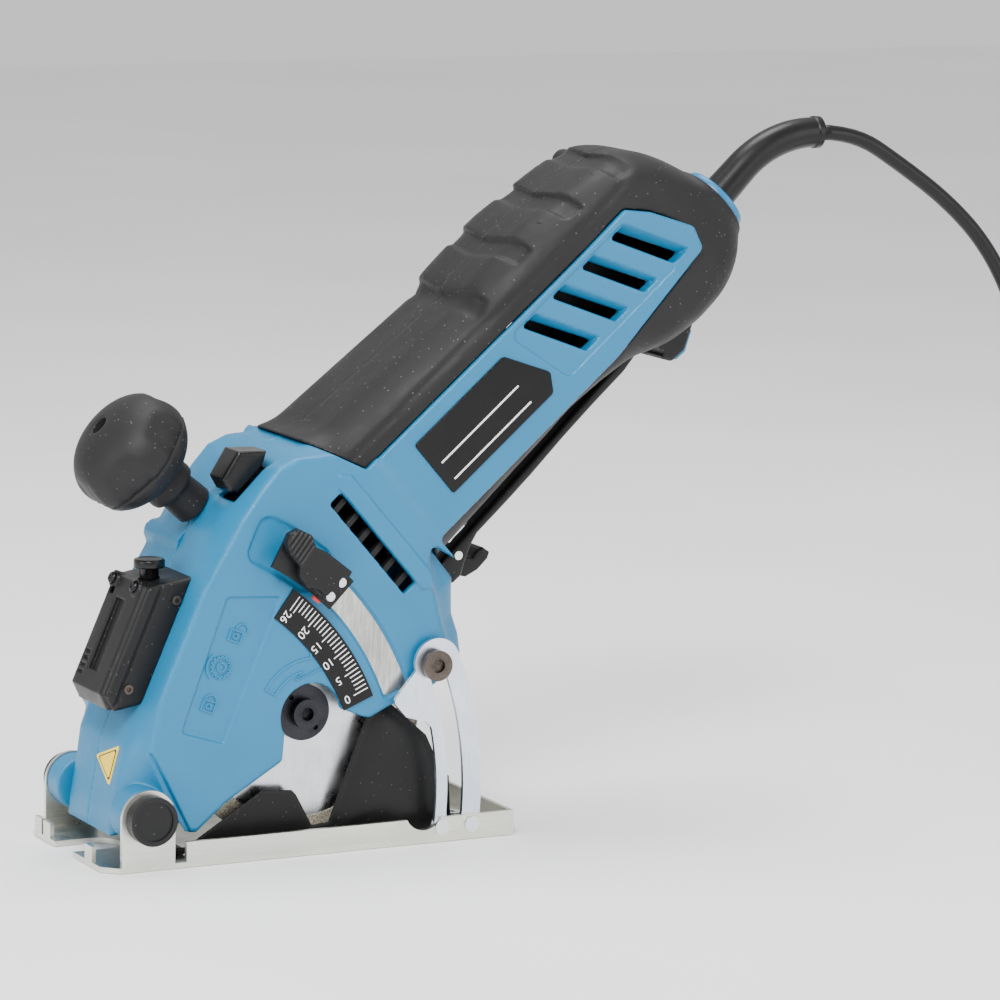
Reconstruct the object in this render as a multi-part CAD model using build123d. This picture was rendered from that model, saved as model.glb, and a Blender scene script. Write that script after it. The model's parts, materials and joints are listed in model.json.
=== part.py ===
from build123d import *
from math import atan2, cos, degrees, hypot, pi, radians, sin, tan
import os

# Track plunge saw, millimetres. Origin: centre of the sole's bottom face.
# -X is the cutting direction, +X the handle end, -Y the blade side, +Z up.

# ---- driving dimensions -------------------------------------------------
sole_length, sole_width, sheet = 149.5, 72.0, 1.8
flange_height, flange_sheet = 8.5, 1.5
window_x, window_y = (-40.0, 52.0), (-24.8, -16.2)

pivot = (-59.6, 17.5)                 # plunge axis in X, Z
pivot_pin_r, running = 3.0, 0.05
ear_r, near_ear_y, far_ear_y = 9.5, -36.0, 31.0

spindle = (1.0, 46.0)                 # blade axis in X, Z at rest
blade_r, core_r, blade_y, blade_thick = 44.5, 36.5, -20.5, 2.4
flange_disc_r, bolt_r = 9.5, 5.0

handle_tilt = 41.0                    # handle's long axis above X
motor_v = 62.5                        # motor axis in the handle frame
layshaft_u = 50.7                     # intermediate shaft along the handle

head_y = (-31.0, 28.0)
wall = 2.5
head_end_u = 98.0                     # where the head meets the handle

arc_slot_r, arc_slot_half = 112.8, 3.0
rack_r = (91.5, 105.0)
depth_slot = (94.0, 102.5, 20.5, 52.0)
cord_r = 2.75

# ---- helpers ------------------------------------------------------------
ct, st = cos(radians(handle_tilt)), sin(radians(handle_tilt))


def at_uv(u, v):
    """A point of the handle frame as X, Z."""
    return (u * ct - v * st, u * st + v * ct)


def polar(radius, angle, centre=pivot):
    a = radians(angle)
    return (centre[0] + radius * cos(a), centre[1] + radius * sin(a))


def slab(points, y0, y1):
    """Extrude an X, Z outline between two Y values."""
    return extrude(Plane.XZ.offset(-y1) * make_face(Polyline(*points, close=True)), y1 - y0)


def disc(centre, radius, y0, y1):
    """A cylinder along Y."""
    return extrude(Plane.XZ.offset(-y1) * Pos(*centre) * Circle(radius), y1 - y0)


def band(r0, r1, a0, a1, y0, y1, centre=pivot):
    """A slab in the shape of an arc band about a centre."""
    ring = Circle(r1) - Circle(r0)
    steps = 6
    fan = [(0, 0)] + [(2 * r1 * cos(radians(a0 + (a1 - a0) * k / steps)),
                       2 * r1 * sin(radians(a0 + (a1 - a0) * k / steps))) for k in range(steps + 1)]
    face = ring & make_face(Polyline(*fan, close=True))
    return extrude(Plane.XZ.offset(-y1) * Pos(*centre) * face, y1 - y0)


def round_slot(r0, r1, a0, a1, y0, y1):
    """An arc slot about the pivot with round ends."""
    mid, half = (r0 + r1) / 2, (r1 - r0) / 2
    body = band(r0, r1, a0, a1, y0, y1)
    return body + disc(polar(mid, a0), half, y0, y1) + disc(polar(mid, a1), half, y0, y1)


def block(x0, x1, y0, y1, z0, z1):
    return Pos((x0 + x1) / 2, (y0 + y1) / 2, (z0 + z1) / 2) * Box(x1 - x0, y1 - y0, z1 - z0)


def across_motor(u, v=motor_v):
    """A plane square to the handle's long axis."""
    x, z = at_uv(u, v)
    return Plane(origin=(x, 0, z), x_dir=(0, 1, 0), z_dir=(ct, 0, st))


def along_u(u, v, radius, length):
    """A cylinder along the motor direction, starting at u."""
    return extrude(across_motor(u, v) * Circle(radius), length)


def uv_slab(points, y0, y1):
    return slab([at_uv(*p) for p in points], y0, y1)


def screw(centre, y_head, y_tip, head_r, shank_r, head_h):
    """A screw along Y: its head sits at y_head, its tip at y_tip."""
    way = 1 if y_tip > y_head else -1
    shoulder = y_head + way * head_h
    head = disc(centre, head_r, min(y_head, shoulder), max(y_head, shoulder))
    socket = disc(centre, head_r * 0.45, min(y_head, y_head + way * head_h * 0.6),
                  max(y_head, y_head + way * head_h * 0.6))
    return head - socket + disc(centre, shank_r, min(shoulder, y_tip), max(shoulder, y_tip))


def save(name, *solids):
    group = [s for shape in solids for s in shape.solids()]
    export_step(Compound(children=group) if len(group) > 1 else group[0], f"parts/{name}.step")


os.makedirs("parts", exist_ok=True)
half_l, half_w = sole_length / 2, sole_width / 2
window = block(window_x[0], window_x[1], window_y[0], window_y[1], -1, 20)
pin_hole = disc(pivot, pivot_pin_r + 0.02, -60, 60)


# ---- sole and what is fixed to it ----------------------------------------
def sole_plate():
    cut, near_cut, tab = 10.0, 5.0, 6.0
    outline = [(-half_l + near_cut, -half_w), (half_l, -half_w), (half_l, half_w), (-half_l + cut, half_w),
               (-half_l, half_w - cut), (-half_l, -half_w + near_cut)]
    plate = extrude(Plane.XY * make_face(Polyline(*outline, close=True)), sheet)
    plate -= window
    plate -= block(-half_l - 1, -half_l + 12, -8, 8, -1, 5)
    plate -= Pos(-half_l + 12, 0, 1) * Cylinder(8, 6)
    near = block(-46, half_l, -half_w, -half_w + flange_sheet, sheet, flange_height)
    near -= disc((41, flange_height + 3), 7, -half_w - 1, -half_w + 3)
    far = block(-46, half_l, half_w - flange_sheet, half_w, sheet, flange_height)
    rear = block(half_l - flange_sheet, half_l, -half_w, half_w, sheet, flange_height)
    tabs = [block(-half_l, -half_l + flange_sheet, y, y + tab, sheet, 7) for y in (-24, 12, 19.5)]
    near_ear = disc(pivot, ear_r, near_ear_y, near_ear_y + flange_sheet)
    near_ear += block(pivot[0] - ear_r, pivot[0] + ear_r, near_ear_y, near_ear_y + flange_sheet,
                      sheet, pivot[1])
    far_ear = disc(pivot, ear_r, far_ear_y - flange_sheet, far_ear_y)
    far_ear += block(pivot[0] - ear_r, pivot[0] + ear_r, far_ear_y - flange_sheet, far_ear_y,
                     sheet, pivot[1])
    sole = plate + near + far + rear + near_ear + far_ear
    for t in tabs:
        sole += t
    sole -= pin_hole
    for x in rivet_x:
        sole -= disc((x, rivet_z), 1.62, -half_w - 1, -half_w + 4)
    for x, y in foot_screws:
        sole -= Pos(x, y, 1) * Cylinder(1.52, 6)
    return sole


rivet_x, rivet_z = (47.6, 58.8), 5.2
foot_screws = ((59.0, -20.5), (-50.0, -22.0))
bracket_y = (near_ear_y + flange_sheet, near_ear_y + 2 * flange_sheet)


def guide_bracket():
    y0, y1 = bracket_y
    legs = band(105.8, 122.5, -8.5, 22.6, y0, y1)
    top = disc(polar(114.2, 22.6), 8.3, y0, y1)
    arm = slab([polar(115, 24.5), (39, 60.5), (30.2, 49.8), (30.2, 48.4), (34.5, 43.5), (41.6, 41.5),
                (44.9, 38.5), (47.5, 31), (56, 34)], y0, y1)
    plate = legs + top + arm
    plate -= round_slot(arc_slot_r - arc_slot_half, arc_slot_r + arc_slot_half, -4.0, 22.8, y0 - 1, y1 + 1)
    plate -= block(0, 90, y0 - 1, y1 + 1, -20, sheet)
    for x in rivet_x:
        plate -= disc((x, rivet_z), 1.62, y0 - 1, y1 + 1)
    return plate


def rivet(x):
    y0 = near_ear_y
    return (disc((x, rivet_z), 1.6, y0 - 0.8, bracket_y[1] + 0.8)
            + disc((x, rivet_z), 2.6, y0 - 0.8, y0)
            + disc((x, rivet_z), 2.6, bracket_y[1], bracket_y[1] + 0.8))


def blade_guard():
    y0, y1 = -27.6, -25.2
    near = slab([(-46, sheet), (-36, 8.3), (-14.3, 21.6), (-3.3, 20.6), (-1.5, 18.7), (4.2, 8), (9.7, 8.5),
                 (22.2, 40.6), (24.7, 47.3), (31.4, 48.5), (46.6, 35.2), (52.5, 22.8), (55.5, 7.1),
                 (55.5, sheet)], y0, y1)
    rear = slab([(53, sheet), (55.5, sheet), (55.5, 7.1), (54.5, 21), (52.6, 21), (53, 7)], y0, -16.2)
    foot = block(55.5, 63, -24.5, -16.5, sheet, sheet + 2.4)
    toe = block(-54, -45, -26.5, -18, sheet, sheet + 2.4) + block(-46, -42.5, y0, -18, sheet, sheet + 2.4)
    guard = near + rear + foot + toe
    for x, y in foot_screws:
        guard -= Pos(x, y, 3) * Cylinder(1.62, 6)
    return guard


def foot_screw(x, y):
    top = sheet + 2.4
    head = Pos(x, y, top + 1) * (Cylinder(3, 2) - Pos(0, 0, 0.6) * Cylinder(1.2, 1.4))
    return head + Pos(x, y, top / 2 + 0.3) * Cylinder(1.5, top - 0.6)


pin_ends = (near_ear_y - 1.0, far_ear_y + 1.0)


def pivot_caps():
    near = disc(pivot, 8.2, near_ear_y - 5.0, near_ear_y)
    near -= disc(pivot, 6.6, near_ear_y - 5.1, near_ear_y - 4.4)
    near -= disc(pivot, pivot_pin_r + 0.02, near_ear_y - 1.0, near_ear_y + 1)
    far = disc(pivot, 8.2, far_ear_y, far_ear_y + 4)
    far -= disc(pivot, pivot_pin_r + 0.02, far_ear_y - 1, far_ear_y + 1)
    return near, far


def return_spring():
    """Torsion spring about the plunge axis, its two legs pointing inwards and up."""
    wire, coil_r, pitch, turns = 0.7, 4.3, 1.7, 7
    helix = Helix(pitch, pitch * turns, coil_r)
    section = Plane(origin=helix @ 0, z_dir=helix % 0) * Circle(wire)
    coil = sweep(section, helix)
    return Pos(pivot[0], 6.0, pivot[1]) * Rot(90, 0, 0) * coil


save("base_plate", sole_plate())
save("guide_bracket", guide_bracket())
save("bracket_rivets", *[rivet(x) for x in rivet_x])
save("pivot_pin", disc(pivot, pivot_pin_r, *pin_ends))
save("pivot_caps", *pivot_caps())
save("return_spring", return_spring())
save("blade_guard", blade_guard())
save("guard_screws", *[foot_screw(x, y) for x, y in foot_screws])


# ---- blade spindle --------------------------------------------------------
blade_near, blade_far = blade_y - blade_thick / 2, blade_y + blade_thick / 2
bore_r, shaft_r, shaft_end = 5.0, 5.0, 20.1
gear_y = (8.0, 16.0)
module = 1.2
teeth_pinion, teeth_idler, teeth_spindle = 16, 14, 20
teeth_bevel, teeth_crown = 8, 28
layshaft = at_uv(layshaft_u, motor_v)
pitch_r = {n: module * n / 2 for n in (teeth_pinion, teeth_idler, teeth_spindle, teeth_bevel, teeth_crown)}


def idler_centre():
    """Where the idler meshes with both the layshaft pinion and the spindle gear."""
    a = pitch_r[teeth_pinion] + pitch_r[teeth_idler]
    b = pitch_r[teeth_idler] + pitch_r[teeth_spindle]
    dx, dz = spindle[0] - layshaft[0], spindle[1] - layshaft[1]
    d = hypot(dx, dz)
    t = (a * a - b * b + d * d) / (2 * d)
    h = (a * a - t * t) ** 0.5
    return (layshaft[0] + t * dx / d + h * dz / d, layshaft[1] + t * dz / d - h * dx / d)


idler = idler_centre()


def heading(a, b):
    return degrees(atan2(b[1] - a[1], b[0] - a[0]))


def spur_gear(centre, teeth, phase, y0, y1, bore):
    """A spur gear with straight-sided teeth; phase is the angle of one tooth."""
    r, step = pitch_r[teeth], 360 / teeth
    root, tip = r - 1.15 * module, r + 0.75 * module
    half_root, half_tip = degrees(0.85 / root), degrees(0.34 / tip)
    profile = []
    for k in range(teeth):
        a = phase + k * step
        profile += [polar(root, a - half_root, centre), polar(tip, a - half_tip, centre),
                    polar(tip, a + half_tip, centre), polar(root, a + half_root, centre)]
    return slab(profile, y0, y1) - disc(centre, bore, y0 - 1, y1 + 1)


pinion_phase = heading(layshaft, idler)
idler_phase = heading(idler, layshaft) + 180 / teeth_idler
to_spindle = heading(idler, spindle)
lead = (idler_phase - to_spindle) % (360 / teeth_idler)
spindle_phase = to_spindle + 180 - lead * teeth_idler / teeth_spindle + 180 / teeth_spindle


def ring(centre, r0, r1, y0, y1):
    return disc(centre, r1, y0, y1) - disc(centre, r0, y0 - 1, y1 + 1)


bolt_face, flange_face = -28.0, -24.6
shaft = disc(spindle, shaft_r, blade_near, shaft_end) - disc(spindle, 2.5, -23, -8)
blade_core = ring(spindle, bore_r, core_r, blade_y - 0.7, blade_y + 0.7)
rim = ring(spindle, core_r, blade_r, blade_near, blade_far)
inner_flange = ring(spindle, bore_r, flange_disc_r, blade_y + 0.7, -16.2)
outer_flange = ring(spindle, 2.6, flange_disc_r, flange_face, blade_near)
outer_flange += ring(spindle, bore_r, flange_disc_r, blade_near, blade_y - 0.7)
for k in range(2):
    outer_flange -= disc(polar(7.0, 130 + 180 * k, spindle), 0.9, flange_face - 1, flange_face + 1.2)
bolt = screw(spindle, bolt_face, -10.0, bolt_r, 2.45, 3.4)
save("blade_disc", blade_core)
save("blade_rim", rim)
save("inner_flange", inner_flange)
save("outer_flange", outer_flange)
save("blade_bolt", bolt)
save("spindle_shaft", shaft)
save("spindle_gear", spur_gear(spindle, teeth_spindle, spindle_phase, *gear_y, shaft_r))

# ---- idler, layshaft and motor ---------------------------------------------
save("idler_gear", spur_gear(idler, teeth_idler, idler_phase, *gear_y, 3.0)
     + disc(idler, 3.0, gear_y[0] - 3, shaft_end))

cone_p = atan2(pitch_r[teeth_bevel], pitch_r[teeth_crown])
cone_len = hypot(pitch_r[teeth_bevel], pitch_r[teeth_crown])
face_width = 5.0


def bevel_teeth(teeth, cone, axis, side, third, phase):
    """Straight bevel teeth about the apex; every edge runs to the apex."""
    apex = Vector(layshaft[0], 0, layshaft[1])
    solids = []
    for k in range(teeth):
        a = radians(phase + 360 / teeth * k)
        radial = side * cos(a) + third * sin(a)
        along = axis * cos(cone) + radial * sin(cone)
        lift = radial * cos(cone) - axis * sin(cone)
        turn = side * -sin(a) + third * cos(a)
        rings = []
        for reach in (cone_len, cone_len - face_width):
            s = reach / cone_len
            corners = [(-1.6, -0.95), (0.75, -0.3), (0.75, 0.3), (-1.6, 0.95)]
            points = [apex + along * reach + lift * (h * module * s) + turn * (w * s) for h, w in corners]
            rings.append(Face(Wire.make_polygon(points, close=True)))
        solids.append(Solid.make_loft([f.outer_wire() for f in rings], ruled=True))
    return solids


u_dir, v_dir, y_dir = Vector(ct, 0, st), Vector(-st, 0, ct), Vector(0, 1, 0)
crown_axis = y_dir * -1
crown_back = -11.0
crown_root = -pitch_r[teeth_bevel] - 1.15 * module
crown = ring(layshaft, 3.5, pitch_r[teeth_crown] + 0.8, crown_back, crown_root - 0.35)
crown -= Pos(layshaft[0], crown_root + 3.2, layshaft[1]) * Rot(90, 0, 0) * Cone(0.01, 24, 7)
crown_teeth = bevel_teeth(teeth_crown, pi / 2 - cone_p, crown_axis, u_dir, v_dir, 0)
for tooth in crown_teeth:
    crown += tooth
save("crown_gear", crown)
lay = disc(layshaft, 3.5, -14.5, shaft_end) + disc(layshaft, 4.6, crown_root + 5, gear_y[0] - 0.4)
lay += spur_gear(layshaft, teeth_pinion, pinion_phase, *gear_y, 3.4)
save("layshaft", lay)

pinion_start = layshaft_u + pitch_r[teeth_crown] * (1 - face_width / cone_len)
arm_shaft = along_u(pinion_start + 0.6, motor_v, 2.2, 172 - pinion_start - 0.6)
arm_shaft += along_u(pinion_start + 5.0, motor_v, 3.4, 3.0)
arm_shaft += along_u(pinion_start + 6, motor_v, 4.0, 154 - pinion_start)
for tooth in bevel_teeth(teeth_bevel, cone_p, u_dir, y_dir * -1, v_dir, 180 / teeth_bevel):
    arm_shaft += tooth
save("armature_shaft", arm_shaft)
core = along_u(102, motor_v, 16, 36) - along_u(101, motor_v, 4.0, 40)
for k in range(12):
    a = radians(30 * k)
    core -= extrude(across_motor(101) * Pos(15 * cos(a), 15 * sin(a)) * Circle(1.6), 40)
save("armature_core", core)
save("commutator", along_u(146, motor_v, 11, 13) - along_u(145, motor_v, 4.0, 16))


def fan():
    hub = along_u(82, motor_v, 8, 9) - along_u(81, motor_v, 4.0, 12)
    disc_back = along_u(89.5, motor_v, 21.5, 1.5) - along_u(88, motor_v, 4.0, 4)
    blades = None
    for k in range(9):
        blade = extrude(across_motor(83.5) * Rot(0, 0, 40 * k) * Pos(14.2, 0) * Rectangle(13.4, 1.2), 6.2)
        blades = blade if blades is None else blades + blade
    return hub + disc_back + blades


save("cooling_fan", fan())

# ---- gear case, bearings and stator ----------------------------------------
case_y = (-15.0, 22.0)


def blob(shrink, y0, y1):
    """The gear case outline round the three shafts."""
    discs = [(spindle, 15.5), (idler, 14.0), (layshaft, 20.0)]
    body = None
    for centre, r in discs:
        d = disc(centre, r - shrink, y0, y1)
        body = d if body is None else body + d
    for (c0, r0), (c1, r1) in zip(discs[:-1], discs[1:]):
        a = radians(heading(c0, c1) + 90)
        n = (cos(a), sin(a))
        quad = [(c0[0] + n[0] * (r0 - shrink) * s, c0[1] + n[1] * (r0 - shrink) * s) for s in (1, -1)]
        quad += [(c1[0] + n[0] * (r1 - shrink) * s, c1[1] + n[1] * (r1 - shrink) * s) for s in (-1, 1)]
        body += slab(quad, y0, y1)
    return body


near_bearing_y, far_bearing_y = (-15.0, -10.0), (16.8, 20.5)
case_wall = 1.8
gear_case = blob(0, *case_y) - blob(case_wall, case_y[0] + case_wall, case_y[1] - case_wall)
gear_case -= disc(spindle, 7, -16, 0)
for centre, r in ((spindle, 10), (layshaft, 8)):
    seat_end = near_bearing_y[1] if centre == spindle else -11.6
    gear_case += ring(centre, r, r + 1.6, case_y[0] + 0.5, seat_end)
for centre, r in ((spindle, 9), (layshaft, 8), (idler, 6)):
    gear_case += ring(centre, r, r + 1.6, far_bearing_y[0], case_y[1] - 1)
gear_case -= disc(layshaft, 8, -14.6, -11.2)
gear_case -= disc(spindle, 10, -14.9, -9)
gear_case -= along_u(66, motor_v, 11, 12)
save("gear_case", gear_case)
play = 0.03                            # between each bearing and its shaft
shaft_bearings = [ring(spindle, shaft_r + play, 10, -14.9, -10.0),
                  ring(spindle, shaft_r + play, 9, 16.8, 20.2),
                  ring(layshaft, 3.5 + play, 8, -14.5, -11.4),
                  ring(layshaft, 3.5 + play, 8, 16.8, 20.2),
                  ring(idler, 3.0 + play, 6, 16.8, 20.2)]

motor_plate = along_u(72, motor_v, 21.4, 7) - along_u(71, motor_v, 11, 12)
save("motor_plate", motor_plate)
save("ball_bearings", *shaft_bearings, along_u(72, motor_v, 11, 7) - along_u(71, motor_v, 4.0, 12),
     along_u(165, motor_v, 9.5, 6) - along_u(164, motor_v, 2.2, 12))
stator = along_u(101, motor_v, 20.8, 38) - along_u(100, motor_v, 16.8, 44)
save("stator_core", stator)
coil_ring = along_u(95.5, motor_v, 20.4, 5.4) - along_u(95, motor_v, 17.5, 7)
coil_back = along_u(139.1, motor_v, 20.4, 5) - along_u(139, motor_v, 17.5, 7)
save("field_coils", coil_ring, coil_back)


def brush(side):
    x, z = at_uv(152.5, motor_v)
    holder = Pos(x, side * 19.5, z) * Rot(0, -handle_tilt, 0) * Box(9, 9, 8)
    carbon = Pos(x, side * 17.7, z) * Rot(0, -handle_tilt, 0) * Box(6, 13, 4.5)
    return holder - carbon, carbon


save("brush_gear", *brush(-1), *brush(1))


def handle_box(u, v, long, wide, high):
    """A box in line with the handle."""
    x, z = at_uv(u, v)
    return Pos(x, 0, z) * Rot(0, -handle_tilt, 0) * Box(long, wide, high)


save("power_switch", handle_box(206, 66, 30, 18, 20), handle_box(186, 60, 10, 12, 16))
save("cord_clamp", handle_box(246, 49, 12, 16, 4) + handle_box(246, 52.5, 8, 5, 3))

# ---- housings ---------------------------------------------------------------
head_outline = [(-66, 12), (-66.5, 17), (-62, 26), (-60, 38), (-38, 92), (-33, 101), (-26, 116), (-13, 128.5),
                (-2, 134.2), (6, 136), at_uv(head_end_u, 103), at_uv(head_end_u, 28), (59, 72.5), (61.5, 61),
                (44.9, 52), (31, 47.5), (11.9, 38.8), (-9, 31), (-29.6, 19.2), (-40, 10.6), (-47, 10.8),
                (-52, 9.0), (-66, 9.0)]
inner_outline = [(-63.5, 11.6), (-63.8, 16.5), (-59.4, 26.5), (-57.4, 38.5), (-35.6, 91), (-30.8, 99.8),
                 (-24, 114.4), (-12, 126.2), (-1, 131.8), (6, 133.4), at_uv(head_end_u, 100.4),
                 at_uv(head_end_u, 30.6), (56.8, 72.6), (58.6, 61.5)]
closed_floor = [(44.4, 54.6), (30.3, 50.2), (10.8, 41.5), (-10.3, 33.6), (-31, 21.7), (-38, 13.3), (-47, 13.4),
                (-52, 11.6), (-60, 11.6)]
open_floor = [(58, 40), (20, 20), (-40, -10), (-63.5, -10)]
bosses = [(-30.5, 101), (-53.0, 47.0), at_uv(91, 95.5)]
handle_bosses = [at_uv(184, 90), at_uv(182, 44), at_uv(238, 87), at_uv(231, 37)]
boss_r, screw_r, spring_room = 3.4, 1.5, 5.4
boss_high = 2.9                        # thread for the guide screw


def head_shell():
    y0, y1 = head_y
    shell = slab(head_outline, y0, y1)
    shell += disc(pivot, 9.3, y0 - 3.2, y0 + 1) + disc(pivot, 9.3, y1 - 1, y1 + 1.2)
    shell -= slab(inner_outline + open_floor, y0 + wall, -15.4)
    shell -= slab(inner_outline + closed_floor, -15.5, y1 - wall)
    shell += ring(pivot, pivot_pin_r + running, 7.6, y0 - 3.2, y0 + 9)
    shell += ring(pivot, pivot_pin_r + running, 7.6, y1 - 9, y1 + 1.2)
    shell -= disc(pivot, pivot_pin_r + running, y0 - 9, y1 + 9)
    shell -= disc(pivot, spring_room, -10, 10)
    shell -= disc(spindle, 11.0, y0 - 1, y0 + wall + 0.5)
    shell -= slab([(-9.5, 38.5), (-9, 20), (11.9, 20), (11.9, 46)], y0 - 1, y0 + wall + 0.5)
    shell -= round_slot(depth_slot[0], depth_slot[1], depth_slot[2] + 2.4, depth_slot[3], y0 - 1, y0 + wall)
    shell -= band(rack_r[0], rack_r[1], depth_slot[2] - 0.8, depth_slot[3] + 3.6, y0 + 1.2, y0 + wall + 1)
    for side in (-1, 1):
        for row in range(5):
            v0 = 42 + 8.6 * row
            ya, yb = (y0 - 1, y0 + wall + 1) if side < 0 else (y1 - wall - 1, y1 + 1)
            shell -= uv_slab([(82.5, v0), (87.5, v0), (87.5, v0 + 6.6), (82.5, v0 + 6.6)], ya, yb)
    for b in bosses:
        shell += ring(b, screw_r + 0.05, boss_r, y0 + wall, y1 - wall)
        shell -= disc(b, screw_r + 0.05, y0 + wall, y1 + 1) + disc(b, 3.1, y1 - 2, y1 + 1)
    shell -= blob(-0.3, case_y[0] - 0.3, case_y[1] + 0.3)
    shell -= along_u(71.8, motor_v, 21.6, 7.4)
    shell -= slab([(-27, 118.5), (-10.5, 134.5), (-3, 126), (-18, 111)], -21, -8)
    shell -= Pos(*knob_seat) * Rot(0, knob_lean, 0) * Cylinder(3.05, 40)
    guide = polar(arc_slot_r, guide_angle)
    shell += disc(guide, 5, y0, y0 + boss_high)
    shell -= disc(guide, 2.5, y0 - 1, y0 + 13)
    return shell


guide_angle = degrees(atan2(60.9 - pivot[1], 44.5 - pivot[0]))
knob_lean = -50.0
knob_dir = (sin(radians(knob_lean)), cos(radians(knob_lean)))
knob_seat = (-28.0, 0, 113.5)
head = head_shell()
save("head_shell_left", split(head, bisect_by=Plane.XZ, keep=Keep.TOP))
save("head_shell_right", split(head, bisect_by=Plane.XZ, keep=Keep.BOTTOM))

handle_stations = [(98.05, 36.5, 95.2, 28.0), (163, 40, 95.6, 28.5), (170, 40.5, 99, 28.5),
                   (199, 37, 100.4, 28.5), (213, 30, 99, 28.5), (226, 28, 97.4, 28.5), (240, 29, 94.5, 27.5),
                   (248, 30, 87, 24), (254, 31.5, 76, 20), (262, 34, 62, 15)]


def lofted(stations, inset, corner):
    faces = []
    for u, v0, v1, w in stations:
        x, z = at_uv(u, (v0 + v1) / 2)
        plane = Plane(origin=(x, 0, z), x_dir=(0, 1, 0), z_dir=(ct, 0, st))
        tall, wide = v1 - v0 - 2 * inset, 2 * (w - inset)
        faces.append(plane * RectangleRounded(wide, tall, min(corner, wide / 2 - 0.5, tall / 2 - 0.5)))
    return loft(faces, ruled=True)


vent_u = [172.6 + 14.5 * k for k in range(4)]


def handle_shell():
    shell = lofted(handle_stations, 0, 12)
    inner = [(97.5, *handle_stations[0][1:])] + handle_stations[1:-1] + [(259.5, 34, 64, 15)]
    shell -= lofted(inner, wall, 9.5)
    for b in handle_bosses:
        shell += ring(b, screw_r + 0.05, boss_r, -25.8, 25.8)
        shell -= disc(b, screw_r + 0.05, -26, 32) + disc(b, 3.1, 26.3, 32)
    for u0 in vent_u:
        hole = [(u0, 79), (u0 + 4.5, 79), (u0 + 17.2, 56), (u0 + 12.7, 56)]
        shell -= uv_slab(hole, -40, -20) + uv_slab(hole, 20, 40)
    shell -= along_u(250, 48.3, 3.2, 20)
    shell -= disc(paddle_pin, 2.4, -20, 20)
    return shell


paddle_pin = at_uv(206, 36.6)
shell = handle_shell()
shell -= uv_slab([(196.5, 30), (212, 30), (212, 40), (196.5, 40)], -13.3, 13.3)
save("handle_shell_left", split(shell, bisect_by=Plane.XZ, keep=Keep.TOP))
save("handle_shell_right", split(shell, bisect_by=Plane.XZ, keep=Keep.BOTTOM))


def side_panel(side):
    outline = [(99, 50), (165, 51), (205, 49.5), (228, 50), (233, 60), (232, 80), (226, 83), (180, 84), (99, 80)]
    ys = (28.6, 30.4) if side > 0 else (-30.4, -28.6)
    panel = uv_slab(outline, *ys)
    for u0 in vent_u:
        panel -= uv_slab([(u0, 79), (u0 + 4.5, 79), (u0 + 17.2, 56), (u0 + 12.7, 56)], -40, 40)
    return panel


save("side_panels", side_panel(-1), side_panel(1))
label = uv_slab([(117, 54), (117, 77), (160, 77), (169.7, 60.4), (166, 54)], -31.0, -30.4)
save("label_plate", label)
save("housing_screws",
     *[screw(b, head_y[1], -22, 3.0, screw_r, 2.0) for b in bosses],
     *[screw(b, 28.3, -22, 3.0, screw_r, 2.0) for b in handle_bosses])


# ---- knob, lock button, laser -------------------------------------------------
def knob_point(t):
    """A point t mm out along the knob's axis from its seat."""
    return (knob_seat[0] + knob_dir[0] * t, 0, knob_seat[2] + knob_dir[1] * t)


knob_plane = Plane(origin=knob_point(5), x_dir=(0, 1, 0), z_dir=(knob_dir[0], 0, knob_dir[1]))
neck = Polyline((3.05, 0), (8, 0), (6.8, 12), (7.5, 13.5))
ball = Spline((7.5, 13.5), (17, 16), (21, 26), (17.5, 37), (8, 43))
profile = make_face(neck + ball + Polyline((8, 43), (3.05, 43), (3.05, 0)))
knob = knob_plane * revolve(Plane.XZ * profile, Axis.Z)
save("front_knob", knob)
stud_plane = Plane(origin=knob_point(-9), x_dir=(0, 1, 0), z_dir=(knob_dir[0], 0, knob_dir[1]))
save("knob_stud", stud_plane * extrude(Circle(3.0), 45))

button = slab([(-21.4, 120.8), (-12.8, 128.9), (-11.2, 134.2), (-21.6, 134.6), (-27.2, 125.6),
               (-24.6, 121.2)], -20.6, -8.4)
stem = slab([(-19.7, 124), (-16.7, 126), (-5.9, 106.5), (-8.9, 104.5)], -16.0, -12.5)
save("spindle_lock_button", button + stem)

laser_outline = [(-37.6, 93.6), (-54.8, 52), (-66.5, 50.2), (-69.2, 56), (-54.0, 91.5)]
laser_room = [(-42, 89.4), (-55.5, 56), (-62.8, 54.5), (-63.6, 57), (-52, 88)]
case = slab(laser_outline, -20, 10) - slab(laser_room, -16.5, 6.5)
case -= Pos(-48, -8, 89) * Cylinder(3.5, 14)
laser_pane = slab([(-60.5, 50.6), (-63.0, 50.2), (-62.6, 52.0), (-60.1, 52.4)], -9, -3)
case_screws = ((-43.5, 86.4), (-60.5, 57.8))
case -= laser_pane
for spot in case_screws:
    case -= disc(spot, 0.95, -21, -17)
save("laser_case", case)
save("laser_window", laser_pane)
save("laser_screws", *[screw(spot, -20.8, -17.2, 1.6, 0.9, 0.8) for spot in case_screws])
save("laser_button", Pos(-48, -8, 91.5) * Cylinder(3.2, 9) + Pos(-48, -8, 97) * Cylinder(5.2, 2.4))

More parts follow.
